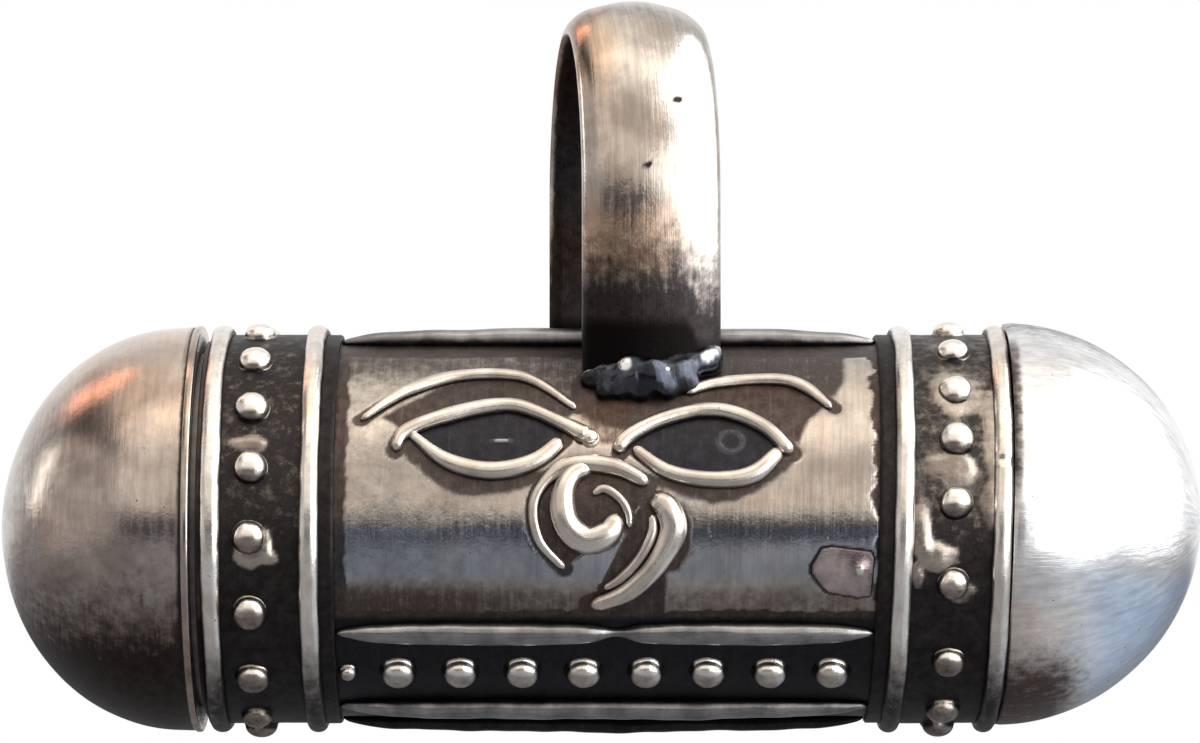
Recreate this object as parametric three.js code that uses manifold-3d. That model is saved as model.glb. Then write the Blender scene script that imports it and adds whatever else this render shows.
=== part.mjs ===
// Mantra pendant: a silver tube closed by two domed ends, which holds a rolled paper mantra.
// The left cap pulls off, the right dome is soldered on, and a broad bail stands on top.
// The tube lies along X, its decorated side faces -Y and the bail rises along +Z.
// The origin is the inside top of the bail, where the cord bears.
import * as THREE from "three";
import { mergeVertices } from "three/addons/utils/BufferGeometryUtils.js";
import Module from "manifold-3d";

// Driving dimensions: millimetres and degrees.
// Tube, domes and cap
const TUBE_RADIUS = 6.0;
const TUBE_WALL = 0.35;
const TUBE_LENGTH = 25.06;
const RIGHT_END_LEAN = 1.6;
const DOME_OVERHANG = 0.4;
const DOME_TIP_WALL = 0.6;
const RIGHT_DOME_DEPTH = 6.4;
const RIGHT_DOME_LIFT = 0.15;
const CAP_DEPTH = 5.78;
const CAP_SKIRT = 0.6;
const CAP_RIM_WIDTH = 0.22;
const CAP_RIM_RISE = 0.05;
const PARTING_GAP = 0.18;
const COLLAR_WALL = 0.4;
const COLLAR_REACH = 4.0;
const COLLAR_CLEARANCE = 0.05;

// Paper roll
const ROLL_CLEARANCE = 0.3;
const ROLL_END_REACH = 2.3;
const ROLL_CORE_RADIUS = 0.7;
const SHEET_THICKNESS = 0.12;

// Ring wires and granulated bands
const RING_WIDTH = 0.62;
const RING_HEIGHT = 0.27;
const RING_CLEARANCE = 0.03;
const STRIP_THICKNESS = 0.16;
const STRIP_LEDGE = 0.45;
const MOUTH_LIP = 0.16;
const CHANNEL_WIDTH = 2.4;
const GRANULE_RADIUS = 0.52;
const GRANULE_HEIGHT = 0.44;
const BAND_GRANULES = 17;
const WOBBLE_STEP = 60;
const LEFT_BAND = { phase: -2.8, wobble: 2, shift: -0.3 };
const RIGHT_BAND = { phase: 4.8, wobble: 4.3, shift: 0.05 };

// Lengthwise wires and the row of granules below the panel.
// Distances round the tube are arcs on its surface, upwards from the front line.
const ROW_WIRE_WIDTH = 0.6;
const ROW_WIRE_HEIGHT = 0.34;
const ROW_WIRE_TIP = 0.3;
const ROW_WIRE_TAPER = 1.4;
const ROW_WIRE_WAIST = 0.4;
const ROW_WIRE_WAIST_REACH = 0.9;
const TAIL_TO_WAIST = 0.85;
const LOWER_WIRE_WIDTH = 0.5;
const EDGE_WIRE_WIDTH = 0.55;
const TOP_WIRE_TURN = 80;
const BOTTOM_WIRE_TURN = -90;
const EMBLEM_TO_ROW_WIRE = 0.93;
const ROW_WIRE_TO_GRANULES = 1.64;
const GRANULES_TO_LOWER_WIRE = 1.96;
const ROW_GRANULES = 8;
const ROW_LEAD = 1.93;
const ROW_TRAIL = 1.38;
const SEED_GRANULE_RADIUS = 0.26;
const SEED_GRANULE_LEAD = 0.36;

// Emblem: each wire is a list of [along the tube, degrees up from its front line, share of its width]
const LID_WIRE_WIDTH = 0.42;
const LID_WIRE_HEIGHT = 0.27;
const BROW_WIRE_WIDTH = 0.34;
const BROW_WIRE_HEIGHT = 0.22;
const SWIRL_WIRE_WIDTH = 0.62;
const SWIRL_WIRE_HEIGHT = 0.38;
const FINE_WIRE_WIDTH = 0.3;
const FINE_WIRE_HEIGHT = 0.2;
const EMBLEM_LEFT_MARGIN = 0.78;
const EMBLEM_RIGHT_MARGIN = 1.39;
const LEFT_BROW = [
  [-7.5, 35.8, 0.45],
  [-6, 47.3, 0.95],
  [-4.45, 53.5, 1],
  [-2.55, 53.3, 0.9],
  [-0.85, 40.1, 0.6],
];
const LEFT_UPPER_LID = [
  [-6.42, 25.3, 0.7],
  [-6.2, 30.6, 0.9],
  [-5.2, 35.7, 1],
  [-2.85, 40.8, 1],
  [-1.2, 33.9, 0.95],
  [-0.45, 29.4, 1.2],
];
const LEFT_LOWER_LID = [
  [-5.7, 27.9, 0.6],
  [-4.8, 21.8, 1],
  [-3.4, 18.9, 1.15],
  [-2.1, 22, 1.05],
  [-1.3, 27.5, 0.9],
];
const RIGHT_BROW = [[2.55, 46.3, 0.6], [3.4, 50.1, 0.9], [5.5, 51.8, 1], [6.2, 48.7, 1], [7.05, 40.1, 0.55]];
const RIGHT_UPPER_LID = [
  [0.45, 24.4, 0.85],
  [0.6, 28.2, 1],
  [1.8, 35.7, 1],
  [3.5, 39, 1],
  [4.9, 33.4, 1],
  [5.78, 24.4, 0.9],
];
const RIGHT_LOWER_LID = [
  [0.95, 24.1, 0.7],
  [2, 18.3, 1],
  [3.6, 16.2, 1.15],
  [4.6, 18, 1.05],
  [5.3, 22.7, 0.8],
];
const SWIRL_RING = [
  [-1.2, -10, 0.5],
  [-2, -0.7, 0.65],
  [-2.08, 11, 0.75],
  [-1.2, 20.1, 1.1],
  [0.25, 20.2, 1.15],
  [1.4, 15.1, 0.8],
];
const SWIRL_COIL = [
  [-1.2, 15.3, 0.55],
  [-1.32, 9.5, 0.9],
  [-1.1, 2.4, 1.1],
  [-0.5, -1.7, 1.15],
  [0.15, 0.5, 1],
  [0.4, 5.9, 0.45],
];
const SWIRL_CORE = [[-0.35, 11.9, 0.7], [0.02, 13.5, 1], [0.45, 11, 1], [0.75, 6.7, 0.9], [0.8, 1.9, 0.6]];
const SWIRL_TAIL = [
  [1.45, 9.9, 0.75],
  [1.95, 7.8, 1.1],
  [2.18, 1.9, 1.1],
  [1.65, -8.1, 0.95],
  [0.75, -16.7, 0.85],
  [-0.42, -21.5, 0.6],
];
const SWIRL_VEIN = [[1.5, 6.2, 0.8], [1.5, 1, 1], [1.1, -6.7, 1], [0.5, -12.9, 0.9], [0, -16.2, 0.6]];

// Bail: a flat-backed domed band bent into an arch, soldered across the top of the tube
const BAIL_WIDTH = 4.4;
const BAIL_CROWN = 1.2;
const BAIL_EDGE = 0.16;
const BAIL_FOOT_TURN = 46.9;
const BAIL_LEG = 4.3;
const BAIL_ARCH_RISE = 5.25;
const BAIL_OFFSET = 0.96;
const BAIL_TURN = 10;
// Solder at the feet: beads along the foot, each [share of the foot's half width, then shares of
// SOLDER_BEAD_RADIUS: outwards from the foot, upwards, the bead's own radius]
const SOLDER_BEAD_RADIUS = 0.8;
const FRONT_BEADS = [
  [-1.05, 0.38, 0.13, 0.5],
  [-0.68, 0.19, 0.13, 0.88],
  [-0.23, 0.19, 0.13, 1],
  [0.27, 0.19, 0.13, 1],
  [0.68, 0.13, 0.13, 0.94],
  [0.95, 0.25, 0.38, 0.75],
];
const REAR_BEADS = [
  [-0.91, 0.13, 0, 0.75],
  [-0.45, 0.13, 0, 0.88],
  [0, 0.13, 0, 0.9],
  [0.45, 0.13, 0, 0.88],
  [0.91, 0.13, 0, 0.75],
];
const SOLDER_FILM = 0.02;
const WELD_DISTANCE = 1e-5;
const SOLDER_TO_WIRE = 0.05;
const BEAD_SUNK_SHARE = 0.33;

// Fineness of the facets
const AROUND = 48;
const DOME_STEPS = 8;
const GRANULE_SIDES = 10;
const GRANULE_STEPS = 3;
const WIRE_STEPS = 20;
const STRAIGHT_WIRE_STEPS = 8;
const WAISTED_WIRE_STEPS = 26;
const WIRE_SIDES = 5;
const RING_SIDES = 5;
const BLUNT_END = 0.35;
const BEAD_SIDES = 12;
const ARCH_STEPS = 16;
const CROWN_STEPS = 8;

// Places worked out from the driving dimensions
const radians = THREE.MathUtils.degToRad;
const tubeLeft = -TUBE_LENGTH / 2;
const tubeRight = TUBE_LENGTH / 2;
const boreRadius = TUBE_RADIUS - TUBE_WALL;
const domeRadius = TUBE_RADIUS + DOME_OVERHANG;
const stripWidth = 2 * RING_WIDTH + CHANNEL_WIDTH + STRIP_LEDGE;
const stripInner = TUBE_RADIUS + SOLDER_FILM;
const stripOuter = stripInner + STRIP_THICKNESS;
const ringInner = stripOuter + RING_CLEARANCE;
const panelLeft = tubeLeft + MOUTH_LIP + stripWidth;
const panelRight = tubeRight - stripWidth;
const capRim = tubeLeft - PARTING_GAP;
const collarOuter = boreRadius - COLLAR_CLEARANCE;
const socketRadius = collarOuter + SOLDER_FILM;
const archHalfGap = TUBE_RADIUS * Math.cos(radians(BAIL_FOOT_TURN)) - BAIL_CROWN;
const cordSeat = TUBE_RADIUS + BAIL_LEG + BAIL_ARCH_RISE;
const rowWireArc = arcOf(SWIRL_TAIL.at(-1)[1]) - EMBLEM_TO_ROW_WIRE;
const rowArc = rowWireArc - ROW_WIRE_TO_GRANULES;
const lowerWireArc = rowArc - GRANULES_TO_LOWER_WIRE;

// The length round the tube's surface that a turn of some degrees covers
function arcOf(turn) {
  return radians(turn) * TUBE_RADIUS;
}

const wasm = await Module();
wasm.setup();

function solidOf(geometry) {
  const bare = new THREE.BufferGeometry();
  bare.setAttribute("position", geometry.getAttribute("position"));
  if (geometry.index) bare.setIndex(geometry.index);
  const merged = mergeVertices(bare, WELD_DISTANCE);
  const vertProperties = new Float32Array(merged.attributes.position.array);
  const triVerts = new Uint32Array(merged.index.array);
  return new wasm.Manifold(new wasm.Mesh({ numProp: 3, vertProperties, triVerts }));
}

function geometryOf(solid) {
  const { vertProperties, triVerts } = solid.getMesh();
  const geometry = new THREE.BufferGeometry();
  geometry.setAttribute("position", new THREE.BufferAttribute(vertProperties, 3));
  geometry.setIndex(new THREE.BufferAttribute(triVerts, 1));
  geometry.computeVertexNormals();
  return geometry;
}

// Turns a closed [x, radius] profile round the tube's axis; its outer side runs towards +X
function revolve(profile, segments = AROUND) {
  const points = profile.map(([x, radius]) => new THREE.Vector2(radius, x));
  return new THREE.LatheGeometry(points, segments).rotateZ(-Math.PI / 2);
}

function sleeve(left, right, inner, outer) {
  return revolve([[left, outer], [right, outer], [right, inner], [left, inner], [left, outer]]);
}

// A quarter ellipse from its rim to its tip, as [distance past the rim, radius]
function quarterEllipse(depth, radius) {
  return Array.from({ length: DOME_STEPS + 1 }, (_, i) => {
    const turn = (i / DOME_STEPS) * (Math.PI / 2);
    return i === DOME_STEPS ? [depth, 0] : [depth * Math.sin(turn), radius * Math.cos(turn)];
  });
}

// The tube was sawn a little out of square at its right end, and all that is fitted there leans with it
function leanRightEnd(geometry) {
  const position = geometry.getAttribute("position");
  for (let i = 0; i < position.count; i++) {
    const share = THREE.MathUtils.clamp((position.getX(i) - panelLeft) / (panelRight - panelLeft), 0, 1);
    position.setX(i, position.getX(i) + share * Math.tan(radians(RIGHT_END_LEAN)) * position.getZ(i));
  }
  return geometry;
}

// A point on the tube: along it, round it by an arc on its surface, and out from its surface
function onTube(along, arc, out) {
  const angle = arc / TUBE_RADIUS;
  const radius = TUBE_RADIUS + out;
  return [along, -radius * Math.cos(angle), radius * Math.sin(angle)];
}

// Closes a stack of equal rings of points into one body with flat ends
function skin(rings) {
  const sides = rings[0].length;
  const index = [];
  for (let ring = 0; ring < rings.length - 1; ring++) {
    for (let side = 0; side < sides; side++) {
      const a = ring * sides + side;
      const b = ring * sides + ((side + 1) % sides);
      index.push(a, b, a + sides, b, b + sides, a + sides);
    }
  }
  const last = (rings.length - 1) * sides;
  for (let side = 1; side < sides - 1; side++) {
    index.push(0, side + 1, side);
    index.push(last, last + side, last + side + 1);
  }
  const geometry = new THREE.BufferGeometry();
  geometry.setAttribute("position", new THREE.Float32BufferAttribute(rings.flat(2), 3));
  geometry.setIndex(index);
  geometry.computeVertexNormals();
  return geometry;
}

// A half-round wire laid on the tube along a smooth path, with its ends drawn in
function surfaceWire(path, width, height, steps = WIRE_STEPS) {
  const points = path.map((point) => new THREE.Vector3(...point));
  const curve = new THREE.CatmullRomCurve3(points, false, "centripetal");
  const reach = curve.getLength() / (width / 2);
  const rings = Array.from({ length: steps + 1 }, (_, i) => {
    const along = (1 - Math.cos((Math.PI * i) / steps)) / 2;
    const { x, y: arc, z: share } = curve.getPointAt(along);
    const heading = curve.getTangentAt(along);
    const flat = Math.hypot(heading.x, heading.y);
    const fromEnd = Math.min(1, Math.min(along, 1 - along) * reach);
    const size = share * Math.max(BLUNT_END, Math.sqrt(1 - (1 - fromEnd) ** 2));
    return Array.from({ length: WIRE_SIDES }, (_, side) => {
      const turn = (Math.PI * side) / (WIRE_SIDES - 1);
      const across = (Math.cos(turn) * width * size) / 2;
      const out = SOLDER_FILM + Math.sin(turn) * height * size;
      return onTube(x - (across * heading.y) / flat, arc + (across * heading.x) / flat, out);
    });
  });
  return skin(rings);
}

// A ball half sunk in its solder, standing on the tube
function granule(along, arc, radius, height, base) {
  const dome = Array.from({ length: GRANULE_STEPS + 1 }, (_, i) => {
    const turn = (i / GRANULE_STEPS) * (Math.PI / 2);
    return i === GRANULE_STEPS ? [height, 0] : [height * Math.sin(turn), radius * Math.cos(turn)];
  });
  const ball = revolve([[0, 0], ...dome], GRANULE_SIDES);
  ball.rotateZ(-Math.PI / 2);
  ball.rotateX(-arc / TUBE_RADIUS);
  return ball.translate(...onTube(along, arc, base));
}

function makeRing(centre) {
  const crown = Array.from({ length: RING_SIDES + 1 }, (_, i) => {
    const turn = Math.PI * (1 - i / RING_SIDES);
    return [centre + (RING_WIDTH / 2) * Math.cos(turn), ringInner + RING_HEIGHT * Math.sin(turn)];
  });
  return leanRightEnd(revolve([...crown, crown[0]]));
}

// A flat strip round the tube with its granules; the wobble spaces them as a hand does
function makeBand(left, channelCentre, { phase, wobble, shift }) {
  let band = solidOf(sleeve(left, left + stripWidth, stripInner, stripOuter));
  const pitch = 360 / BAND_GRANULES;
  const sunk = stripOuter - TUBE_RADIUS - STRIP_THICKNESS / 2;
  const height = GRANULE_HEIGHT + STRIP_THICKNESS / 2;
  for (let i = 0; i < BAND_GRANULES; i++) {
    const fromFront = i - (BAND_GRANULES - 1) / 2;
    const turn = phase + fromFront * pitch + wobble * Math.cos(radians(WOBBLE_STEP * fromFront));
    band = band.add(solidOf(granule(channelCentre + shift, arcOf(turn), GRANULE_RADIUS, height, sunk)));
  }
  return leanRightEnd(geometryOf(band));
}

function makeTube() {
  return leanRightEnd(sleeve(tubeLeft, tubeRight, boreRadius, TUBE_RADIUS));
}

// This dome is soldered on a little high
function makeRightDome() {
  const rim = tubeRight + SOLDER_FILM;
  const outer = quarterEllipse(RIGHT_DOME_DEPTH, domeRadius).map(([x, r]) => [rim + x, r]);
  const hollow = quarterEllipse(RIGHT_DOME_DEPTH - DOME_TIP_WALL, boreRadius);
  const inner = hollow.map(([x, r]) => [rim + x, r]).reverse();
  return leanRightEnd(revolve([...inner, ...outer]).translate(0, 0, RIGHT_DOME_LIFT));
}

function makeCapDome() {
  const skirtEnd = capRim - CAP_SKIRT;
  const outer = quarterEllipse(CAP_DEPTH, domeRadius).map(([x, r]) => [skirtEnd - x, r]).reverse();
  const inner = quarterEllipse(CAP_DEPTH - DOME_TIP_WALL, socketRadius).map(([x, r]) => [skirtEnd - x, r]);
  const rim = [
    [capRim - CAP_RIM_WIDTH, domeRadius],
    [capRim - (2 * CAP_RIM_WIDTH) / 3, domeRadius + CAP_RIM_RISE],
    [capRim, domeRadius + CAP_RIM_RISE],
    [capRim, socketRadius],
  ];
  return revolve([...outer, ...rim, ...inner]);
}

function makeCapCollar() {
  const left = capRim - CAP_SKIRT + SOLDER_FILM;
  return sleeve(left, tubeLeft + COLLAR_REACH, collarOuter - COLLAR_WALL, collarOuter);
}

// Paper rolled to a spiral edge that shows as one step along the outside
function makeRoll() {
  const outer = collarOuter - COLLAR_WALL - ROLL_CLEARANCE;
  const left = capRim - ROLL_END_REACH;
  const right = tubeRight + ROLL_END_REACH;
  const section = new THREE.Shape();
  for (let i = 0; i <= AROUND; i++) {
    const turn = (2 * Math.PI * i) / AROUND;
    const radius = outer - SHEET_THICKNESS * (1 - i / AROUND);
    const place = [radius * Math.cos(turn), radius * Math.sin(turn)];
    if (i === 0) section.moveTo(...place);
    else section.lineTo(...place);
  }
  section.closePath();
  const core = new THREE.Path();
  core.absarc(0, 0, ROLL_CORE_RADIUS, 0, 2 * Math.PI, true);
  section.holes.push(core);
  const roll = new THREE.ExtrudeGeometry(section, {
    depth: right - left,
    bevelEnabled: false,
    curveSegments: GRANULE_SIDES,
  });
  return roll.rotateY(Math.PI / 2).translate(left, 0, 0);
}

// The bail before its feet are scribed to the tube; spare thickens it all round for a fitted neighbour
function bailBlank(spare) {
  const halfWidth = BAIL_WIDTH / 2 + spare;
  const inner = archHalfGap - spare;
  const outer = archHalfGap + BAIL_CROWN + spare;
  const spring = TUBE_RADIUS + BAIL_LEG;
  const footHeight = Math.sqrt(Math.max(0, TUBE_RADIUS ** 2 - outer ** 2)) - BAIL_CROWN;
  const edge = BAIL_EDGE / BAIL_CROWN;
  const section = [[-halfWidth, 0]];
  for (let i = 0; i <= CROWN_STEPS; i++) {
    const turn = Math.PI * (1 - i / CROWN_STEPS);
    section.push([halfWidth * Math.cos(turn), edge + (1 - edge) * Math.sin(turn)]);
  }
  section.push([halfWidth, 0]);
  const stations = [[-inner, -outer, footHeight, footHeight]];
  for (let i = 0; i <= ARCH_STEPS; i++) {
    const turn = (Math.PI * i) / ARCH_STEPS;
    const lowRise = (BAIL_ARCH_RISE - spare) * Math.sin(turn);
    const highRise = (BAIL_ARCH_RISE + BAIL_CROWN + spare) * Math.sin(turn);
    stations.push([-inner * Math.cos(turn), -outer * Math.cos(turn), spring + lowRise, spring + highRise]);
  }
  stations.push([inner, outer, footHeight, footHeight]);
  const rings = stations.map(([innerY, outerY, innerZ, outerZ]) =>
    section.map(([across, share]) => [
      across,
      innerY + share * (outerY - innerY),
      innerZ + share * (outerZ - innerZ),
    ]),
  );
  return skin(rings).rotateZ(radians(BAIL_TURN)).translate(BAIL_OFFSET, 0, 0);
}

function tubeRound(radius) {
  return solidOf(revolve([[tubeLeft, 0], [tubeLeft, radius], [tubeRight, radius], [tubeRight, 0]]));
}

function makeBail() {
  return geometryOf(solidOf(bailBlank(0)).subtract(tubeRound(TUBE_RADIUS + SOLDER_FILM)));
}

// Beads of solder run together round a foot, fitted to the tube, the bail and the wires they meet
function makeFootSolder(side, beads, neighbours) {
  const spin = radians(BAIL_TURN);
  const lumps = beads.map(([place, outwards, upwards, size]) => {
    const across = (place * BAIL_WIDTH) / 2;
    const radius = size * SOLDER_BEAD_RADIUS;
    const crown = BAIL_EDGE + (BAIL_CROWN - BAIL_EDGE) * Math.sqrt(Math.max(0, 1 - place ** 2));
    const depth = side * (archHalfGap + crown + outwards * SOLDER_BEAD_RADIUS);
    const x = BAIL_OFFSET + across * Math.cos(spin) - depth * Math.sin(spin);
    const y = across * Math.sin(spin) + depth * Math.cos(spin);
    const z = Math.sqrt(Math.max(0, TUBE_RADIUS ** 2 - y ** 2)) + upwards * SOLDER_BEAD_RADIUS;
    const bead = new THREE.SphereGeometry(radius, BEAD_SIDES, BEAD_SIDES / 2);
    return solidOf(bead.translate(x, y, z - BEAD_SUNK_SHARE * radius));
  });
  let solder = lumps.reduce((whole, lump) => whole.add(lump));
  solder = solder.subtract(tubeRound(TUBE_RADIUS + SOLDER_FILM)).subtract(solidOf(bailBlank(SOLDER_FILM)));
  for (const neighbour of neighbours) solder = solder.subtract(solidOf(neighbour));
  const pieces = solder.decompose().sort((a, b) => b.volume() - a.volume());
  return geometryOf(pieces[0]);
}

// Stretches the emblem over the panel between its margins, and lays it round the tube
function onPanel(path) {
  const first = LEFT_BROW[0][0];
  const last = RIGHT_BROW.at(-1)[0];
  const room = panelRight - EMBLEM_RIGHT_MARGIN - (panelLeft + EMBLEM_LEFT_MARGIN);
  const stretch = room / (last - first);
  const start = panelLeft + EMBLEM_LEFT_MARGIN;
  return path.map(([x, turn, share]) => [start + (x - first) * stretch, arcOf(turn), share]);
}

// A straight wire between the two bands, tapered at its ends; waist holds any thinner places along it
function panelWire(arc, width, height, waist = []) {
  const left = panelLeft + SOLDER_FILM;
  const right = panelRight - SOLDER_FILM;
  const along = [
    [left, ROW_WIRE_TIP],
    [left + ROW_WIRE_TAPER, 1],
    ...waist,
    [right - ROW_WIRE_TAPER, 1],
    [right, ROW_WIRE_TIP],
  ];
  const steps = waist.length > 0 ? WAISTED_WIRE_STEPS : STRAIGHT_WIRE_STEPS;
  return leanRightEnd(surfaceWire(along.map(([x, share]) => [x, arc, share]), width, height, steps));
}

const BRIGHT = { color: 0xb9b3a8, roughness: 0.28, metalness: 1 };
const WORN = { color: 0x8f8a86, roughness: 0.36, metalness: 1 };
const OXIDISED = { color: 0x4a4644, roughness: 0.5, metalness: 0.9 };
const PAPER = { color: 0xd9c79c, roughness: 0.9, metalness: 0 };

function piece(parent, name, geometry, finish) {
  const mesh = new THREE.Mesh(geometry, new THREE.MeshStandardMaterial(finish));
  mesh.name = name;
  parent.add(mesh);
}

const pendant = new THREE.Group();
const assembly = new THREE.Group();
const fixedCase = new THREE.Group();
const cap = new THREE.Group();
const contents = new THREE.Group();
assembly.position.set(-BAIL_OFFSET, 0, -cordSeat);
assembly.add(fixedCase, cap, contents);
pendant.add(assembly);

piece(fixedCase, "tube", makeTube(), WORN);
piece(fixedCase, "right_dome", makeRightDome(), BRIGHT);
piece(cap, "cap_dome", makeCapDome(), BRIGHT);
piece(cap, "cap_collar", makeCapCollar(), OXIDISED);
piece(contents, "mantra_roll", makeRoll(), PAPER);

// The two bands mirror each other about the panel
const leftStrip = tubeLeft + MOUTH_LIP;
const ringPitch = RING_WIDTH + CHANNEL_WIDTH;
const leftRing = leftStrip + RING_WIDTH / 2;
const rightRing = tubeRight - RING_WIDTH / 2;
piece(fixedCase, "left_granule_band", makeBand(leftStrip, leftRing + ringPitch / 2, LEFT_BAND), OXIDISED);
piece(fixedCase, "right_granule_band", makeBand(panelRight, rightRing - ringPitch / 2, RIGHT_BAND), OXIDISED);
piece(fixedCase, "left_outer_ring", makeRing(leftRing), BRIGHT);
piece(fixedCase, "left_inner_ring", makeRing(leftRing + ringPitch), BRIGHT);
piece(fixedCase, "right_inner_ring", makeRing(rightRing - ringPitch), BRIGHT);
piece(fixedCase, "right_outer_ring", makeRing(rightRing), BRIGHT);

// The swirl's tail was soldered against the upper wire, which was filed thin there
const waistPlace = onPanel(SWIRL_TAIL).at(-1)[0] + TAIL_TO_WAIST;
const waist = [
  [waistPlace - ROW_WIRE_WAIST_REACH, 1],
  [waistPlace, ROW_WIRE_WAIST],
  [waistPlace + ROW_WIRE_WAIST_REACH, 1],
];
const rowUpperWire = panelWire(rowWireArc, ROW_WIRE_WIDTH, ROW_WIRE_HEIGHT, waist);
piece(fixedCase, "row_upper_wire", rowUpperWire, BRIGHT);
piece(fixedCase, "row_lower_wire", panelWire(lowerWireArc, LOWER_WIRE_WIDTH, ROW_WIRE_HEIGHT), BRIGHT);
const topWire = panelWire(arcOf(TOP_WIRE_TURN), EDGE_WIRE_WIDTH, ROW_WIRE_HEIGHT);
piece(fixedCase, "top_wire", topWire, BRIGHT);
const bottomWire = panelWire(arcOf(BOTTOM_WIRE_TURN), EDGE_WIRE_WIDTH, ROW_WIRE_HEIGHT);
piece(fixedCase, "bottom_wire", bottomWire, BRIGHT);

const seedPlace = panelLeft + SEED_GRANULE_LEAD;
const seed = granule(seedPlace, rowArc, SEED_GRANULE_RADIUS, SEED_GRANULE_RADIUS, SOLDER_FILM);
piece(fixedCase, "row_granule_seed", seed, BRIGHT);
const rowPitch = (panelRight - ROW_TRAIL - panelLeft - ROW_LEAD) / (ROW_GRANULES - 1);
for (let i = 0; i < ROW_GRANULES; i++) {
  const place = panelLeft + ROW_LEAD + i * rowPitch;
  const ball = granule(place, rowArc, GRANULE_RADIUS, GRANULE_HEIGHT, SOLDER_FILM);
  piece(fixedCase, `row_granule_${i + 1}`, ball, BRIGHT);
}

const emblem = [
  ["left_brow", LEFT_BROW, BROW_WIRE_WIDTH, BROW_WIRE_HEIGHT],
  ["left_upper_lid", LEFT_UPPER_LID, LID_WIRE_WIDTH, LID_WIRE_HEIGHT],
  ["left_lower_lid", LEFT_LOWER_LID, LID_WIRE_WIDTH, LID_WIRE_HEIGHT],
  ["right_brow", RIGHT_BROW, BROW_WIRE_WIDTH, BROW_WIRE_HEIGHT],
  ["right_upper_lid", RIGHT_UPPER_LID, LID_WIRE_WIDTH, LID_WIRE_HEIGHT],
  ["right_lower_lid", RIGHT_LOWER_LID, LID_WIRE_WIDTH, LID_WIRE_HEIGHT],
  ["swirl_ring", SWIRL_RING, LID_WIRE_WIDTH, LID_WIRE_HEIGHT],
  ["swirl_coil", SWIRL_COIL, SWIRL_WIRE_WIDTH, SWIRL_WIRE_HEIGHT],
  ["swirl_core", SWIRL_CORE, FINE_WIRE_WIDTH, FINE_WIRE_HEIGHT],
  ["swirl_tail", SWIRL_TAIL, SWIRL_WIRE_WIDTH, SWIRL_WIRE_HEIGHT],
  ["swirl_vein", SWIRL_VEIN, FINE_WIRE_WIDTH, FINE_WIRE_HEIGHT],
];
for (const [name, path, width, height] of emblem) {
  piece(fixedCase, name, surfaceWire(onPanel(path), width, height), BRIGHT);
}

const besideFoot = emblem.filter(([name]) => name.endsWith("brow") || name.endsWith("upper_lid"));
const nearFoot = besideFoot.map(([, path, width, height]) => {
  return surfaceWire(onPanel(path), width + 2 * SOLDER_TO_WIRE, height + 2 * SOLDER_TO_WIRE);
});
piece(fixedCase, "bail", makeBail(), BRIGHT);
piece(fixedCase, "front_foot_solder", makeFootSolder(-1, FRONT_BEADS, nearFoot), OXIDISED);
piece(fixedCase, "rear_foot_solder", makeFootSolder(1, REAR_BEADS, []), OXIDISED);

export default pendant;
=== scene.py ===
"""Looks of the mantra pendant: an oxidised silver tube with domed ends, granulated bands, a wire emblem and a bail.

Shapes are worked out in millimetres in the tube's frame (x along its axis, 0 at its middle) and moved to the
row frame when their mesh is made. Each point of a mesh also holds how much oxide lies on it, together with painted
shade and painted highlights on some pieces, and where it is on its surface, for the silver's materials.
"""

import math

import bmesh
import bpy
import numpy as np
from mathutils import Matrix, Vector


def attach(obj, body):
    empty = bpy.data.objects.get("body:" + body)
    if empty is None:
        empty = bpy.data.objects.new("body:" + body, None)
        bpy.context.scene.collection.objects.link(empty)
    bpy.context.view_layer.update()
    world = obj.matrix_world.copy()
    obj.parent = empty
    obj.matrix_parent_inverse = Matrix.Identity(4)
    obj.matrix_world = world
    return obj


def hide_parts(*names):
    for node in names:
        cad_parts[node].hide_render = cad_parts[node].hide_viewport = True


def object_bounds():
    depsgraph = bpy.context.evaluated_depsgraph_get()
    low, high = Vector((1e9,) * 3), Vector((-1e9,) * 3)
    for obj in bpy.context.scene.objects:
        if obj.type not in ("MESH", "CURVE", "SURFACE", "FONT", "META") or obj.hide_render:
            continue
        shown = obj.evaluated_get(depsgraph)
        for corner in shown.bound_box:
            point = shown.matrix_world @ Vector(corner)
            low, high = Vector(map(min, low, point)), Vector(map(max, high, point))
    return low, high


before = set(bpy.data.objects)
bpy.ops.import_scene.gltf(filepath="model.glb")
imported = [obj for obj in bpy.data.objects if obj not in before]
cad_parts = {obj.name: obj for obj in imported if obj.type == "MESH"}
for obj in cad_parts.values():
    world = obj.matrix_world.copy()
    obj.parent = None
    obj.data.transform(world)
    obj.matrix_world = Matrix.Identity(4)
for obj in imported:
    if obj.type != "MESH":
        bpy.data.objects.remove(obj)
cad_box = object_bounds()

MM = 0.001

# Sizes of the part, in millimetres and degrees, in the tube's frame
TUBE_RADIUS = 6.0
TUBE_EDGE_RADIUS = 5.96
BORE_RADIUS = 5.65
TUBE_LEFT, TUBE_RIGHT = -12.53, 12.53
PANEL_LEFT, PANEL_RIGHT = -8.28, 8.44
RIGHT_END_LEAN = 1.6
DOME_RADIUS = 6.4
STRIP_INNER, STRIP_OUTER = 6.02, 6.18
STRIP_WIDTH = 4.09
LEFT_STRIP, RIGHT_STRIP = -12.37, 8.44
LEFT_CHANNEL, RIGHT_CHANNEL = -10.85, 10.76
BAND_GRANULES, ROW_GRANULES = 17, 8
GRANULE_RADIUS, GRANULE_HEIGHT = 0.52, 0.44
SEED_SIZE = 0.26
RING_CENTRES = {"left_outer": -12.06, "left_inner": -9.04, "right_inner": 9.20, "right_outer": 12.22}
RING_WIDTH, RING_INNER, RING_HEIGHT = 0.62, 6.21, 0.27
PANEL_WIRE_HEIGHT = 0.34
CAP_RIM = -12.71
CAP_SKIRT = 0.6
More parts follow.
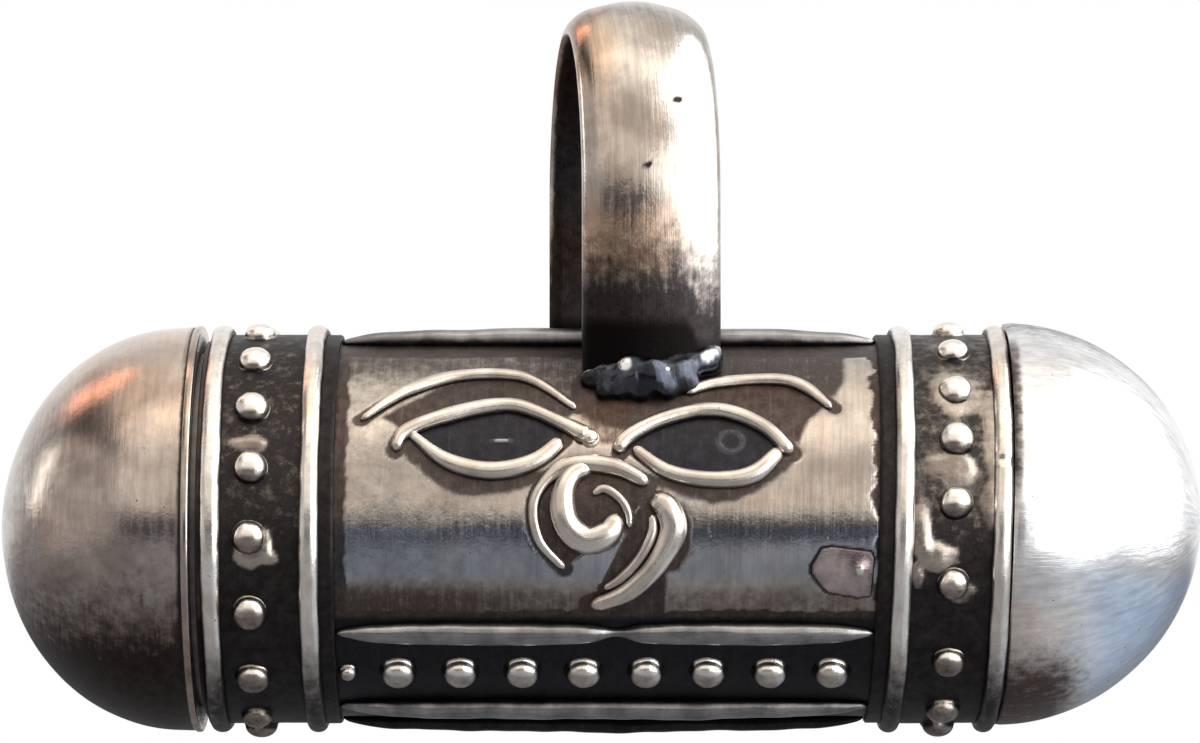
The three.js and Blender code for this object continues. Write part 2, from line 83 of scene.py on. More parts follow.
CAP_DEPTH = 5.78
DOME_TIP_WALL = 0.6
SOCKET_RADIUS = 5.62
COLLAR_RIGHT, COLLAR_OUTER, COLLAR_INNER = -8.53, 5.6, 5.2
RIGHT_DOME_DEPTH = 6.4
RIGHT_DOME_LIFT = 0.15
BAIL_WIDTH, BAIL_CROWN, BAIL_EDGE = 4.4, 1.2, 0.16
BAIL_HALF_GAP = 2.9
BAIL_SPRING = 10.3
BAIL_ARCH_RISE = 5.25
BAIL_OFFSET = 0.96
BAIL_TURN = 10
ORIGIN = np.array([BAIL_OFFSET, 0, BAIL_SPRING + BAIL_ARCH_RISE])

# Millimetres on the tube's surface for one degree round it, rounded
MM_PER_DEGREE = 0.105

# The oxide value at which silver is burnished fully bright, also used for painted highlights
BURNISHED = -0.5


# Shapes

def together(*parts):
    """Arrays side by side along a new last axis, each spread to the shape of all."""
    return np.stack(np.broadcast_arrays(*parts), axis=-1)


def lean(points):
    """Shears what lies right of the panel's left end, as the tube's right end was sawn out of square."""
    share = np.clip((points[..., 0] - PANEL_LEFT) / (PANEL_RIGHT - PANEL_LEFT), 0, 1)
    leaned = points.copy()
    leaned[..., 0] += share * math.tan(math.radians(RIGHT_END_LEAN)) * points[..., 2]
    return leaned


def on_tube(x, turn, out):
    """Points at x along the tube, turn degrees up from its front line, and out from its surface."""
    angle = np.radians(turn)
    radius = TUBE_RADIUS + out
    return together(x, -radius * np.cos(angle), radius * np.sin(angle))


def arc_of(turn):
    """Millimetres round the tube's surface from its front line, for degrees."""
    return np.radians(turn) * TUBE_RADIUS


def ripple(u, v, seed):
    """Smooth unevenness between about -1 and 1 over two surface distances in millimetres."""
    rng = np.random.default_rng(seed)
    total = 0
    for wave in (0.9, 1.7, 2.9, 5.3):
        way, start = rng.uniform(0, 2 * math.pi, 2)
        total = total + np.sin(wave * (u * math.cos(way) + v * math.sin(way)) + start) / wave**0.5
    return total / 2.4


class Lattice:
    """A grid of points, and for each its oxide, painted shade and painted highlights in one value (0 is clean and 1
    dark, below 0 is burnished bright and above 1 is blackest), the tint of its tarnish and painted reflections (-1
    is brown and 1 blue), and its place on the surface in millimetres."""

    def __init__(self, points, oxide_and_painted_light=0.0, flow=None, wrap_rows=False, wrap_columns=False, tint=0.0):
        self.points = np.asarray(points, float)
        rows, columns = self.points.shape[:2]
        self.oxide_and_painted_light = np.broadcast_to(oxide_and_painted_light, (rows, columns)).astype(float)
        self.tint = np.broadcast_to(tint, (rows, columns)).astype(float)
        if flow is None:
            flow = together(distance_along(self.points, 0), distance_along(self.points, 1))
        self.flow = np.asarray(flow, float)
        self.wrap_rows, self.wrap_columns = wrap_rows, wrap_columns

    def quads(self):
        rows, columns = self.points.shape[:2]
        i = np.arange(rows if self.wrap_rows else rows - 1)[:, None]
        j = np.arange(columns if self.wrap_columns else columns - 1)[None, :]
        near, far = i * columns, ((i + 1) % rows) * columns
        side = (j + 1) % columns
        return together(near + j, near + side, far + side, far + j).reshape(-1, 4)


def run_up(steps):
    """The distance run at each point, from the steps between the points."""
    return np.concatenate([[0], np.cumsum(steps)])


def distance_along(points, axis):
    """The mean distance run along one axis of a grid of points, as a grid."""
    run = run_up(np.linalg.norm(np.diff(points, axis=axis), axis=-1).mean(axis=1 - axis))
    return np.broadcast_to(run[:, None] if axis == 0 else run[None, :], points.shape[:2])


def mesh_of(name, points, faces, oxide_and_painted_light, tint, flow):
    """A mesh in the row frame, with what the silver's materials read at each point."""
    mesh = bpy.data.meshes.new(name)
    mesh.from_pydata(((points - ORIGIN) * MM).tolist(), [], faces.tolist())
    mesh.attributes.new("oxide_and_painted_light", "FLOAT", "POINT").data.foreach_set("value", oxide_and_painted_light)
    mesh.attributes.new("tint", "FLOAT", "POINT").data.foreach_set("value", tint)
    places = np.column_stack([flow, np.zeros(len(flow))])
    mesh.attributes.new("flow", "FLOAT_VECTOR", "POINT").data.foreach_set("vector", places.ravel())
    return mesh


def end_to_end(grids):
    """The values of several grids, as one list."""
    return np.concatenate([grid.reshape(-1, *grid.shape[2:]) for grid in grids])


def placed(name, data):
    """A new object in the scene."""
    thing = bpy.data.objects.new(name, data)
    bpy.context.scene.collection.objects.link(thing)
    return thing


def make_piece(name, lattices, material, replaced, body="case"):
    """One mesh object from lattices in the tube's frame, riding on a body."""
    starts = np.cumsum([0, *[part.oxide_and_painted_light.size for part in lattices]])
    faces = np.concatenate([part.quads() + start for part, start in zip(lattices, starts)])
    grids = zip(*((part.points, part.oxide_and_painted_light, part.tint, part.flow) for part in lattices))
    points, oxide_and_painted_light, tint, flow = map(end_to_end, grids)
    mesh = mesh_of(name, points, faces, oxide_and_painted_light, tint, flow)
    tidy_mesh(mesh)
    piece = placed(name, mesh)
    mesh.materials.append(material)
    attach(piece, body)
    if replaced:
        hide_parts(*replaced)


def tidy_mesh(mesh):
    """Joins points that lie on each other, drops faces without area, and turns all faces outwards."""
    made = bmesh.new()
    made.from_mesh(mesh)
    bmesh.ops.remove_doubles(made, verts=made.verts, dist=0.0005 * MM)
    bmesh.ops.dissolve_degenerate(made, edges=made.edges, dist=0.0002 * MM)
    bmesh.ops.recalc_face_normals(made, faces=made.faces)
    for face in made.faces:
        face.smooth = True
    made.to_mesh(mesh)
    made.free()


def spun(profile, sides, oxide_and_painted_light, wave=None, wrap=True):
    """A profile of [x, radius] turned round the tube's axis, closed if it wraps; wave adds to the radius."""
    profile = np.asarray(profile, float)
    turn = np.linspace(-90, 270, sides, endpoint=False)
    x, radius = profile[:, :1], profile[:, 1:]
    grid = radius + 0 * turn
    if wave is not None:
        # a dome's tip stays smooth
        grid = grid + wave(x, turn) * (radius > 0.5)
    points = on_tube(x, turn, grid - TUBE_RADIUS)
    run = run_up(np.linalg.norm(np.diff(profile, axis=0), axis=1))
    flow = together(run[:, None], arc_of(turn))
    up_from_front = np.where(turn > 180, turn - 360, turn)
    tone = oxide_and_painted_light(x, up_from_front, grid)
    return Lattice(points, tone, flow, wrap_rows=wrap, wrap_columns=True)


def smooth_path(points, count):
    """A centripetal curve through points, as count points spread evenly along it."""
    points = np.asarray(points, float)
    steps_per_gap = 40
    ends = [2 * points[0] - points[1], *points, 2 * points[-1] - points[-2]]
    fine = []
    for p0, p1, p2, p3 in zip(ends, ends[1:], ends[2:], ends[3:]):
        gaps = [max(1e-6, np.linalg.norm(b - a)) ** 0.5 for a, b in ((p0, p1), (p1, p2), (p2, p3))]
        start = (p1 - p0) / gaps[0] - (p2 - p0) / (gaps[0] + gaps[1]) + (p2 - p1) / gaps[1]
        end = (p2 - p1) / gaps[1] - (p3 - p1) / (gaps[1] + gaps[2]) + (p3 - p2) / gaps[2]
        start, end = start * gaps[1], end * gaps[1]
        t = np.linspace(0, 1, steps_per_gap, endpoint=False)[:, None]
        bend, twist = 3 * (p2 - p1) - 2 * start - end, 2 * (p1 - p2) + start + end
        fine.append(p1 + start * t + bend * t**2 + twist * t**3)
    fine = np.concatenate([*fine, points[-1:]])
    run = run_up(np.linalg.norm(np.diff(fine, axis=0), axis=1))
    wanted = np.linspace(0, run[-1], count)
    return together(*(np.interp(wanted, run, column) for column in fine.T))


def route_of(path):
    """A wire's path of [x, degrees, share of its width], with the degrees as millimetres round the tube."""
    return [[x, arc_of(turn), share] for x, turn, share in path]


def laid_wire(path, width, height, seed, steps=110, sides=14, leans=False, grime_and_shade=0.0):
    """A worn half-round wire on the tube. Path points are [x, degrees up from the front line, share of width]."""
    sunk, blunt, uneven = 0.05, 0.3, 0.09
    line = smooth_path(route_of(path), steps)
    heading = np.gradient(line[:, :2], axis=0)
    heading /= np.linalg.norm(heading, axis=1)[:, None]
    run = np.linspace(0, 1, steps)
    length = np.linalg.norm(np.diff(line[:, :2], axis=0), axis=1).sum()
    from_end = np.clip(np.minimum(run, 1 - run) * length / (width / 2), 0, 1)
    size = line[:, 2] * np.maximum(blunt, np.sqrt(1 - (1 - from_end) ** 2))
    wide = width * size * (1 + uneven * ripple(run * length, 0, seed))
    high = height * size * (1 + uneven * ripple(run * length, 3, seed + 7))
    turn = np.linspace(0, math.pi, sides)
    across = np.cos(turn) * wide[:, None] / 2
    crown = np.sin(turn) ** 0.65
    out = -sunk + (high[:, None] + sunk) * crown
    x = line[:, :1] - across * heading[:, 1:]
    arc = line[:, 1:2] + across * heading[:, :1]
    points = on_tube(x, np.degrees(arc / TUBE_RADIUS), out)
    if leans:
        points = lean(points)
    patchy = 0.24 * np.clip(ripple(run * length * 1.7, 0, seed + 3), 0, 1)[:, None]
    tone = np.clip(0.95 - crown * 1.35, 0, 1) + grime_and_shade + patchy
    flow = together((run * length)[:, None], across + seed * 3.1)
    first, last = points[:1].mean(axis=1, keepdims=True), points[-1:].mean(axis=1, keepdims=True)
    points = np.concatenate([np.repeat(first, sides, 1), points, np.repeat(last, sides, 1)])
    tone = np.concatenate([tone[:1], tone, tone[-1:]])
    flow = np.concatenate([flow[:1], flow, flow[-1:]])
    return Lattice(points, tone, flow, wrap_columns=True)


def granule(x, turn, base, radius, height, seed, grime_and_shade=0.0):
    """A small worn ball in its fillet of solder; the grime argument paints shade on the side of it that faces down.
    """
    sides, steps = 28, 14
    arc = np.linspace(0, math.pi / 2, steps)
    # the last three rings are the ball's foot and its fillet, which ends below the surface
    spread = np.concatenate([radius * np.sin(arc), [radius * 1.06, radius * 1.22]])
    rise = np.concatenate([height * np.cos(arc[:-1]) ** 0.85, [0.05, -0.01, -0.06]])
    around = np.linspace(0, 2 * math.pi, sides, endpoint=False)
    lump = 1 + 0.05 * ripple(2 * np.cos(around), 2 * np.sin(around), seed)[None, :]
    along = spread[:, None] * np.cos(around) * lump
    up = spread[:, None] * np.sin(around) * lump
    points = on_tube(x + along, turn + np.degrees(up / (TUBE_RADIUS + base)), base + rise[:, None])
    facing = turn + np.degrees(np.arcsin(np.clip(up / radius, -1, 1)))
    # the ball's top is burnished bright and its fillet oxidised; the side facing down gets painted shade
    tone = BURNISHED + 1.4 * np.clip((spread[:, None] / radius - 0.92) * 4, 0, 1) + grime_and_shade * soft(-facing, -15, 25)
    flow = together(along + x, up + arc_of(turn))
    return Lattice(points, tone, flow, wrap_columns=True)


# Materials

class Nodes:
    """The nodes of a material or a world, made through short calls that hand back sockets."""

    def __init__(self, owner):
        owner.use_nodes = True
        self.tree = owner.node_tree
        self.tree.nodes.clear()

    def node(self, kind, **values):
        made = self.tree.nodes.new(kind)
        for name, value in values.items():
            setattr(made, name, value)
        return made

    def feed(self, socket, value):
        if isinstance(value, bpy.types.NodeSocket):
            self.tree.links.new(value, socket)
        else:
            socket.default_value = value

    def attribute(self, name, output):
        return self.node("ShaderNodeAttribute", attribute_name=name).outputs[output]

    def math(self, operation, a, b, c=0.0):
        made = self.node("ShaderNodeMath", operation=operation)
        for socket, value in zip(made.inputs, (a, b, c)):
            self.feed(socket, value)
        return made.outputs[0]

    def scaled(self, vector, scale, offset=(0, 0, 0)):
        made = self.node("ShaderNodeMapping")
        self.feed(made.inputs["Vector"], vector)
        made.inputs["Scale"].default_value = scale
        made.inputs["Location"].default_value = offset
        return made.outputs[0]

    def noise(self, vector, scale, detail, roughness):
        made = self.node("ShaderNodeTexNoise")
        self.feed(made.inputs["Vector"], vector)
        made.inputs["Scale"].default_value = scale
        made.inputs["Detail"].default_value = detail
        made.inputs["Roughness"].default_value = roughness
        return made.outputs["Fac"]

    def cells(self, vector, scale):
        made = self.node("ShaderNodeTexVoronoi")
        self.feed(made.inputs["Vector"], vector)
        made.inputs["Scale"].default_value = scale
        return made.outputs["Distance"]

    def between(self, value, low, high, to_low=0.0, to_high=1.0, curve="SMOOTHSTEP"):
        made = self.node("ShaderNodeMapRange", interpolation_type=curve)
        for socket, number in zip(made.inputs, (value, low, high, to_low, to_high)):
            self.feed(socket, number)
        return made.outputs[0]

    def mix(self, share, a, b, blend="MIX"):
        made = self.node("ShaderNodeMix", data_type="RGBA", blend_type=blend)
        self.feed(made.inputs["Factor"], share)
        self.feed(made.inputs[6], a if isinstance(a, bpy.types.NodeSocket) else (*a, 1))
        self.feed(made.inputs[7], b if isinstance(b, bpy.types.NodeSocket) else (*b, 1))
        return made.outputs[2]

    def bump(self, height, distance, under=None):
        made = self.node("ShaderNodeBump")
        made.inputs["Distance"].default_value = distance
        self.feed(made.inputs["Height"], height)
        if under is not None:
            self.feed(made.inputs["Normal"], under)
        return made.outputs[0]


class Shader(Nodes):
    """A material with one surface."""

    def __init__(self, name):
        self.material = bpy.data.materials.new(name)
        super().__init__(self.material)
        self.surface = self.node("ShaderNodeBsdfPrincipled")
        output = self.node("ShaderNodeOutputMaterial")
        self.feed(output.inputs["Surface"], self.surface.outputs[0])


def silver(name, bright, worn, dark, shine, matt, streaks=(0.5, 7.0), cover=0.5, dirt=0.5):
    """Silver that shows bright metal, a worn tone in clouds, and oxide where the mesh says that it lies, with the
    painted shade, painted highlights and painted reflections that the mesh gives.

    shine and matt are the roughness of bare and of oxidised metal, streaks the brush lines' frequencies along
    and round the surface, cover the oxide share at which half of it is dark, and dirt how much its edge frays."""
    s = Shader(name)
    flow = s.attribute("flow", "Vector")
    oxide_and_painted_light = s.attribute("oxide_and_painted_light", "Fac")
    ragged = s.noise(flow, 2.6, 8, 0.7)
    blotch = s.noise(flow, 0.6, 4, 0.6)
    tarnish = s.noise(s.scaled(flow, (1, 1, 1), (9, 4, 2)), 0.33, 5, 0.65)
    fine = s.noise(flow, 14, 4, 0.6)
    brushed = s.noise(s.scaled(flow, (streaks[0], streaks[1], 1)), 1.0, 6, 0.7)
    scratches = (26, 0.3, 1) if streaks[0] > streaks[1] else (0.3, 26, 1)
    scratched = s.noise(s.scaled(flow, scratches, (3, 5, 7)), 1.0, 3, 0.5)
    pitted = s.cells(s.scaled(flow, (1, 1, 1), (0.3, 0.7, 0)), 1.6)

    edge = s.math("MULTIPLY_ADD", s.math("SUBTRACT", ragged, 0.5), dirt, oxide_and_painted_light)
    edge = s.math("MULTIPLY_ADD", s.math("SUBTRACT", brushed, 0.5), dirt * 0.8, edge)
    laid = s.between(edge, cover - 0.3, cover + 0.3)
    pits = s.between(pitted, 0.03, 0.06, 1.0, 0.0)
    laid = s.math("MAXIMUM", laid, s.math("MULTIPLY", pits, 0.7))

    metal = s.mix(s.between(blotch, 0.35, 0.65), worn, bright)
    lines = s.between(brushed, 0.3, 0.7, 0.8, 1.1)
    metal = s.mix(1.0, metal, lines, "MULTIPLY")
    # burnished silver: worn high spots, and painted highlights where the mesh gives them
    metal = s.mix(s.between(oxide_and_painted_light, -0.1, BURNISHED), metal, (0.95, 0.91, 0.85))
    ground = s.mix(s.between(ragged, 0.3, 0.8), dark, tuple(2.0 * c + 0.01 for c in dark))
    ground = s.mix(s.math("MULTIPLY", s.between(brushed, 0.5, 0.8), 0.5), ground, tuple(4.0 * c for c in dark))
    ground = s.mix(s.between(oxide_and_painted_light, 1.0, 1.3), ground, tuple(0.35 * c for c in dark))
    shade = s.mix(laid, metal, ground)
    # brown and blue tint: tarnish, and painted reflections where the mesh's tint gives them
    tint = s.math("MULTIPLY_ADD", s.math("SUBTRACT", tarnish, 0.5), 1.2, s.attribute("tint", "Fac"))
    shade = s.mix(s.between(tint, -1, 0, 1, 0), shade, s.mix(1.0, shade, (1.0, 0.78, 0.63), "MULTIPLY"))
    shade = s.mix(s.between(tint, 0, 1), shade, s.mix(1.0, shade, (0.72, 0.88, 1.12), "MULTIPLY"))
    s.feed(s.surface.inputs["Base Color"], shade)

    s.surface.inputs["Metallic"].default_value = 1.0
    rough = s.math("MULTIPLY_ADD", brushed, 0.16, shine - 0.08)
    rough = s.math("MULTIPLY_ADD", laid, matt - shine, rough)
    s.feed(s.surface.inputs["Roughness"], rough)

    line_bump = s.bump(scratched, 0.004 * MM)
    dent_bump = s.bump(s.math("MULTIPLY_ADD", brushed, 0.3, ragged), 0.01 * MM, line_bump)
    s.feed(s.surface.inputs["Normal"], s.bump(s.math("MULTIPLY", laid, fine), 0.012 * MM, dent_bump))
    return s.material


def paper(name):
    """Handmade paper: pale fibres in a warm, slightly clouded sheet."""
    s = Shader(name)
    flow = s.attribute("flow", "Vector")
    cloud = s.noise(flow, 0.5, 5, 0.6)
    fibres = s.noise(s.scaled(flow, (0.9, 7, 1)), 1.6, 8, 0.75)
    sheet = s.mix(s.between(cloud, 0.3, 0.7), (0.62, 0.51, 0.34), (0.78, 0.69, 0.5))
    sheet = s.mix(s.between(fibres, 0.58, 0.72), sheet, (0.42, 0.31, 0.18))
    edge = s.attribute("oxide_and_painted_light", "Fac")
    s.feed(s.surface.inputs["Base Color"], s.mix(s.math("MULTIPLY", edge, 0.65), sheet, (0.24, 0.17, 0.1)))
    s.surface.inputs["Roughness"].default_value = 0.9
    s.feed(s.surface.inputs["Normal"], s.bump(fibres, 0.03 * MM))
    return s.material


# Each silver has bright and worn colours, its oxide's colour, and the roughness of its metal and its oxide
DARK = (0.02, 0.018, 0.018)
BROWN = (0.055, 0.044, 0.041)
POLISHED = silver("silver_polished", (0.97, 0.95, 0.91), (0.84, 0.79, 0.72), DARK, 0.24, 0.45, (2.0, 1.2))
BEIGE = silver("silver_beige", (0.86, 0.81, 0.74), (0.62, 0.56, 0.5), BROWN, 0.27, 0.48, dirt=0.85)
# darker than the emblem's silver: partly wear, partly painted shade for the panel's wires
WORN_AND_SHADED = silver("silver_worn", (0.4, 0.4, 0.41), (0.2, 0.2, 0.21), DARK, 0.28, 0.45)
PANEL = silver("silver_panel", (0.61, 0.58, 0.54), (0.46, 0.435, 0.405), BROWN, 0.11, 0.4, (7.0, 0.4), dirt=0.8)
DOME = silver("silver_dome", (0.58, 0.53, 0.49), (0.42, 0.37, 0.34), DARK, 0.15, 0.42, (5.0, 0.6), dirt=0.75)
# the right dome's silver: a paler copy of the dome silver, painted as if lit
PAINTED_LIT_DOME = silver(
    "silver_dome_painted_lit", (0.97, 0.97, 0.97), (0.86, 0.86, 0.87), BROWN, 0.25, 0.4, (1.0, 4.0), dirt=0.8
)
ARCH = silver("silver_arch", (0.66, 0.62, 0.57), (0.44, 0.4, 0.37), DARK, 0.15, 0.45, (0.4, 6.0), dirt=0.8)
GROUND = silver("silver_ground", (0.55, 0.49, 0.43), (0.3, 0.26, 0.23), DARK, 0.26, 0.5, (2, 2), 0.45, 0.9)
PLATE = silver("silver_plate", (0.72, 0.62, 0.61), (0.4, 0.32, 0.33), DARK, 0.18, 0.45, (2, 2), 0.5, 0.8)
SOLDER = silver("silver_solder", (0.12, 0.12, 0.135), (0.035, 0.035, 0.04), DARK, 0.16, 0.36, (2, 2), 0.5, 1.0)
INNER = silver("silver_inner", (0.3, 0.28, 0.27), (0.2, 0.19, 0.19), DARK, 0.38, 0.55, (0.4, 5))
PAPER = paper("paper_handmade")


# The wires of the emblem, each a list of [x, degrees up from the front line, share of its width]

LEFT_BROW = [[-7.5, 35.8, 0.45], [-6, 47.3, 0.95], [-4.45, 53.5, 1], [-2.55, 53.3, 0.9], [-0.85, 40.1, 0.6]]
LEFT_UPPER_LID = [
    [-6.42, 25.3, 0.7], [-6.2, 30.6, 0.9], [-5.2, 35.7, 1],
    [-2.85, 40.8, 1], [-1.2, 33.9, 0.95], [-0.45, 29.4, 1.2],
]
LEFT_LOWER_LID = [[-5.98, 31, 0.6], [-4.8, 22, 1], [-3.4, 18.9, 1.15], [-2.1, 22, 1.05], [-1.27, 28.8, 0.9]]
RIGHT_BROW = [[2.55, 46.3, 0.6], [3.4, 50.1, 0.9], [5.5, 51.8, 1], [6.2, 48.7, 1], [7.05, 40.1, 0.55]]
RIGHT_UPPER_LID = [
    [0.45, 24.4, 0.85], [0.6, 28.2, 1], [1.8, 35.7, 1],
    [3.5, 39, 1], [4.9, 33.4, 1], [5.78, 24.4, 0.9],
]
RIGHT_LOWER_LID = [[0.9, 26.3, 0.7], [2, 18.6, 1], [3.6, 16.2, 1.2], [4.6, 18, 1.15], [5.45, 25.5, 0.85]]
SWIRL_RING = [
    [-1.2, -10, 0.5], [-2, -0.7, 0.65], [-2.08, 11, 0.75],
    [-1.2, 20.1, 1.1], [0.25, 20.2, 1.15], [1.4, 15.1, 0.8],
]
SWIRL_COIL = [
    [-0.35, 20.6, 0.8], [-0.95, 17.6, 0.9], [-1.27, 10.5, 1.2], [-1.1, 2.6, 1.25],
    [-0.5, -1.5, 1.25], [0.15, 0.8, 1.15], [0.42, 6.5, 0.6],
]
SWIRL_CORE = [[-0.35, 11.9, 0.7], [0.02, 13.5, 1], [0.45, 11, 1], [0.75, 6.7, 0.9], [0.8, 1.9, 0.6]]
SWIRL_TAIL = [
    [1.4, 10.4, 0.8], [1.9, 8.2, 1.2], [2.14, 1.9, 1.25],
    [1.65, -8.1, 1.0], [0.75, -16.7, 0.85], [-0.42, -21.5, 0.6],
]
SWIRL_VEIN = [[1.5, 6.2, 0.8], [1.5, 1, 1], [1.1, -6.7, 1], [0.5, -12.9, 0.9], [0, -16.2, 0.6]]
# Width and height of each kind of wire
LID, BROW, BROAD, FINE = (0.5, 0.28), (0.42, 0.23), (0.7, 0.38), (0.35, 0.21)
EMBLEM = {
    "left_brow": (LEFT_BROW, *BROW),
    "left_upper_lid": (LEFT_UPPER_LID, *LID),
    "left_lower_lid": (LEFT_LOWER_LID, *LID),
    "right_brow": (RIGHT_BROW, *BROW),
    "right_upper_lid": (RIGHT_UPPER_LID, *LID),
    "right_lower_lid": (RIGHT_LOWER_LID, *LID),
    "swirl_ring": (SWIRL_RING, *LID),
    "swirl_coil": (SWIRL_COIL, *BROAD),
    "swirl_core": (SWIRL_CORE, *FINE),
    "swirl_tail": (SWIRL_TAIL, *BROAD),
    "swirl_vein": (SWIRL_VEIN, *FINE),
}
# Degrees up from the front line of the row of granules and of the lengthwise wires
ROW_WIRE_TURN, ROW_TURN, LOWER_WIRE_TURN, TOP_WIRE_TURN, BOTTOM_WIRE_TURN = -30.4, -46.0, -64.8, 80, -90


# Oxide on the tube, from the shapes that lie on it, and painted shade and reflection on the panel

def away_from(x, arc, path):
    """Distance from points on the tube's surface to a path of [x, arc], in millimetres."""
    nearest = np.full(x.shape, 1e9)
    for (x0, a0), (x1, a1) in zip(path, path[1:]):
        dx, da = x1 - x0, a1 - a0
        t = np.clip(((x - x0) * dx + (arc - a0) * da) / (dx * dx + da * da + 1e-12), 0, 1)
        nearest = np.minimum(nearest, np.hypot(x - x0 - t * dx, arc - a0 - t * da))
    return nearest


def inside(x, arc, outline):
    """Signed distance to a closed outline of [x, arc], below 0 outside it."""
    closed = [*outline, outline[0]]
    within = np.zeros(x.shape, bool)
    for (x0, a0), (x1, a1) in zip(closed, closed[1:]):
        if a0 != a1:
            crosses = (a0 > arc) != (a1 > arc)
            within ^= crosses & (x < (x1 - x0) * (arc - a0) / (a1 - a0) + x0)
    return np.where(within, 1, -1) * away_from(x, arc, closed)


def soft(distance, low, high):
    """A smooth step from 0 at low to 1 at high."""
    t = np.clip((distance - low) / (high - low), 0, 1)
    return t * t * (3 - 2 * t)


def arcs(path):
    """A path in degrees as one in millimetres round the tube."""
    return [(point[0], arc_of(point[1])) for point in path]


def line_of(path):
    """A wire's path, smoothed, as [x, arc]."""
    return smooth_path(route_of(path), 40)[:, :2].tolist()


# Darkened parts of the panel: an outline of [x, degrees up from the front line], how dark it is and its tint
ZONES = [
    ([[-6.9, 37], [-5.9, 43.5], [-5, 50], [-3.7, 54.1], [-2.6, 53.1], [-1.7, 47], [-0.8, 40], [-1.3, 35],
      [-2.5, 40], [-3.4, 41], [-4.6, 38.5], [-5.3, 35.5], [-6.3, 33]], 0.93, -0.3),
    ([[-5.5, 90], [-5.3, 56.2], [-4.4, 54.5], [-2.5, 54], [-1.9, 50], [-0.7, 42], [0, 40], [0.2, 90]], 0.64, -0.2),
    ([[-0.9, 42], [0, 44], [1.2, 44], [0.7, 36], [0.4, 27], [-0.2, 27], [-0.5, 32]], 0.58, -0.5),
    ([[0.6, 34], [1.1, 44], [2.3, 47.5], [3.5, 50.7], [5.7, 52], [6.8, 41], [6.25, 35.7], [5.95, 27.5],
      [5.3, 31], [4.6, 36], [3.5, 39], [1.9, 36], [0.9, 31]], 0.93, -0.3),
    ([[0, 44], [2.5, 47], [3.5, 51], [5.5, 52.5], [6.3, 49], [7, 43], [7.4, 52], [7.5, 90], [0, 90]], 0.76, -0.1),
    ([[-6.43, 26.8], [-6.1, 22.3], [-5.3, 15.5], [-4.56, 11.3], [-4, 11], [-2.9, 11.9], [-2, 14.9], [-1.6, 19],
      [-2.4, 20.5], [-3.5, 19], [-4.6, 20.5], [-5.3, 25], [-5.9, 30]], 0.82, 0.0),
    ([[1.43, 14.6], [2.4, 11], [3.3, 8.6], [4, 9.5], [4.8, 13.1], [5.64, 19.2], [6, 24.5], [5.5, 24],
      [4.8, 18.5], [4, 16], [2.4, 17.5], [1.5, 18]], 0.85, 0.0),
    ([[2.4, 10.5], [2.7, 3.6], [2.68, -4.6], [2.35, -11], [1.97, -11.3], [1.97, -25], [-0.1, -25.6], [0.6, -18],
      [1.6, -9], [2.1, -4.6], [2.35, 2.7]], 0.93, 0.2),
]

# The outline of the bare patch
PATCH = arcs([[6.37, -9], [6.67, -4], [6.98, -3.4], [8.2, -4.9], [8.3, -6.7], [8.2, -18.3], [7.83, -18.8],
              [6.9, -17.3], [6.59, -14.2], [6.37, -11.4], [6.37, -9]])


def zone_marks(x, arc, dark, tint, outline, tone, colour, blur=0.2):
    """Lays a zone's oxide and tint over what is there."""
    share = soft(inside(x, arc, outline), -blur, blur)
    return np.maximum(dark, tone * share), tint + (colour - tint) * share


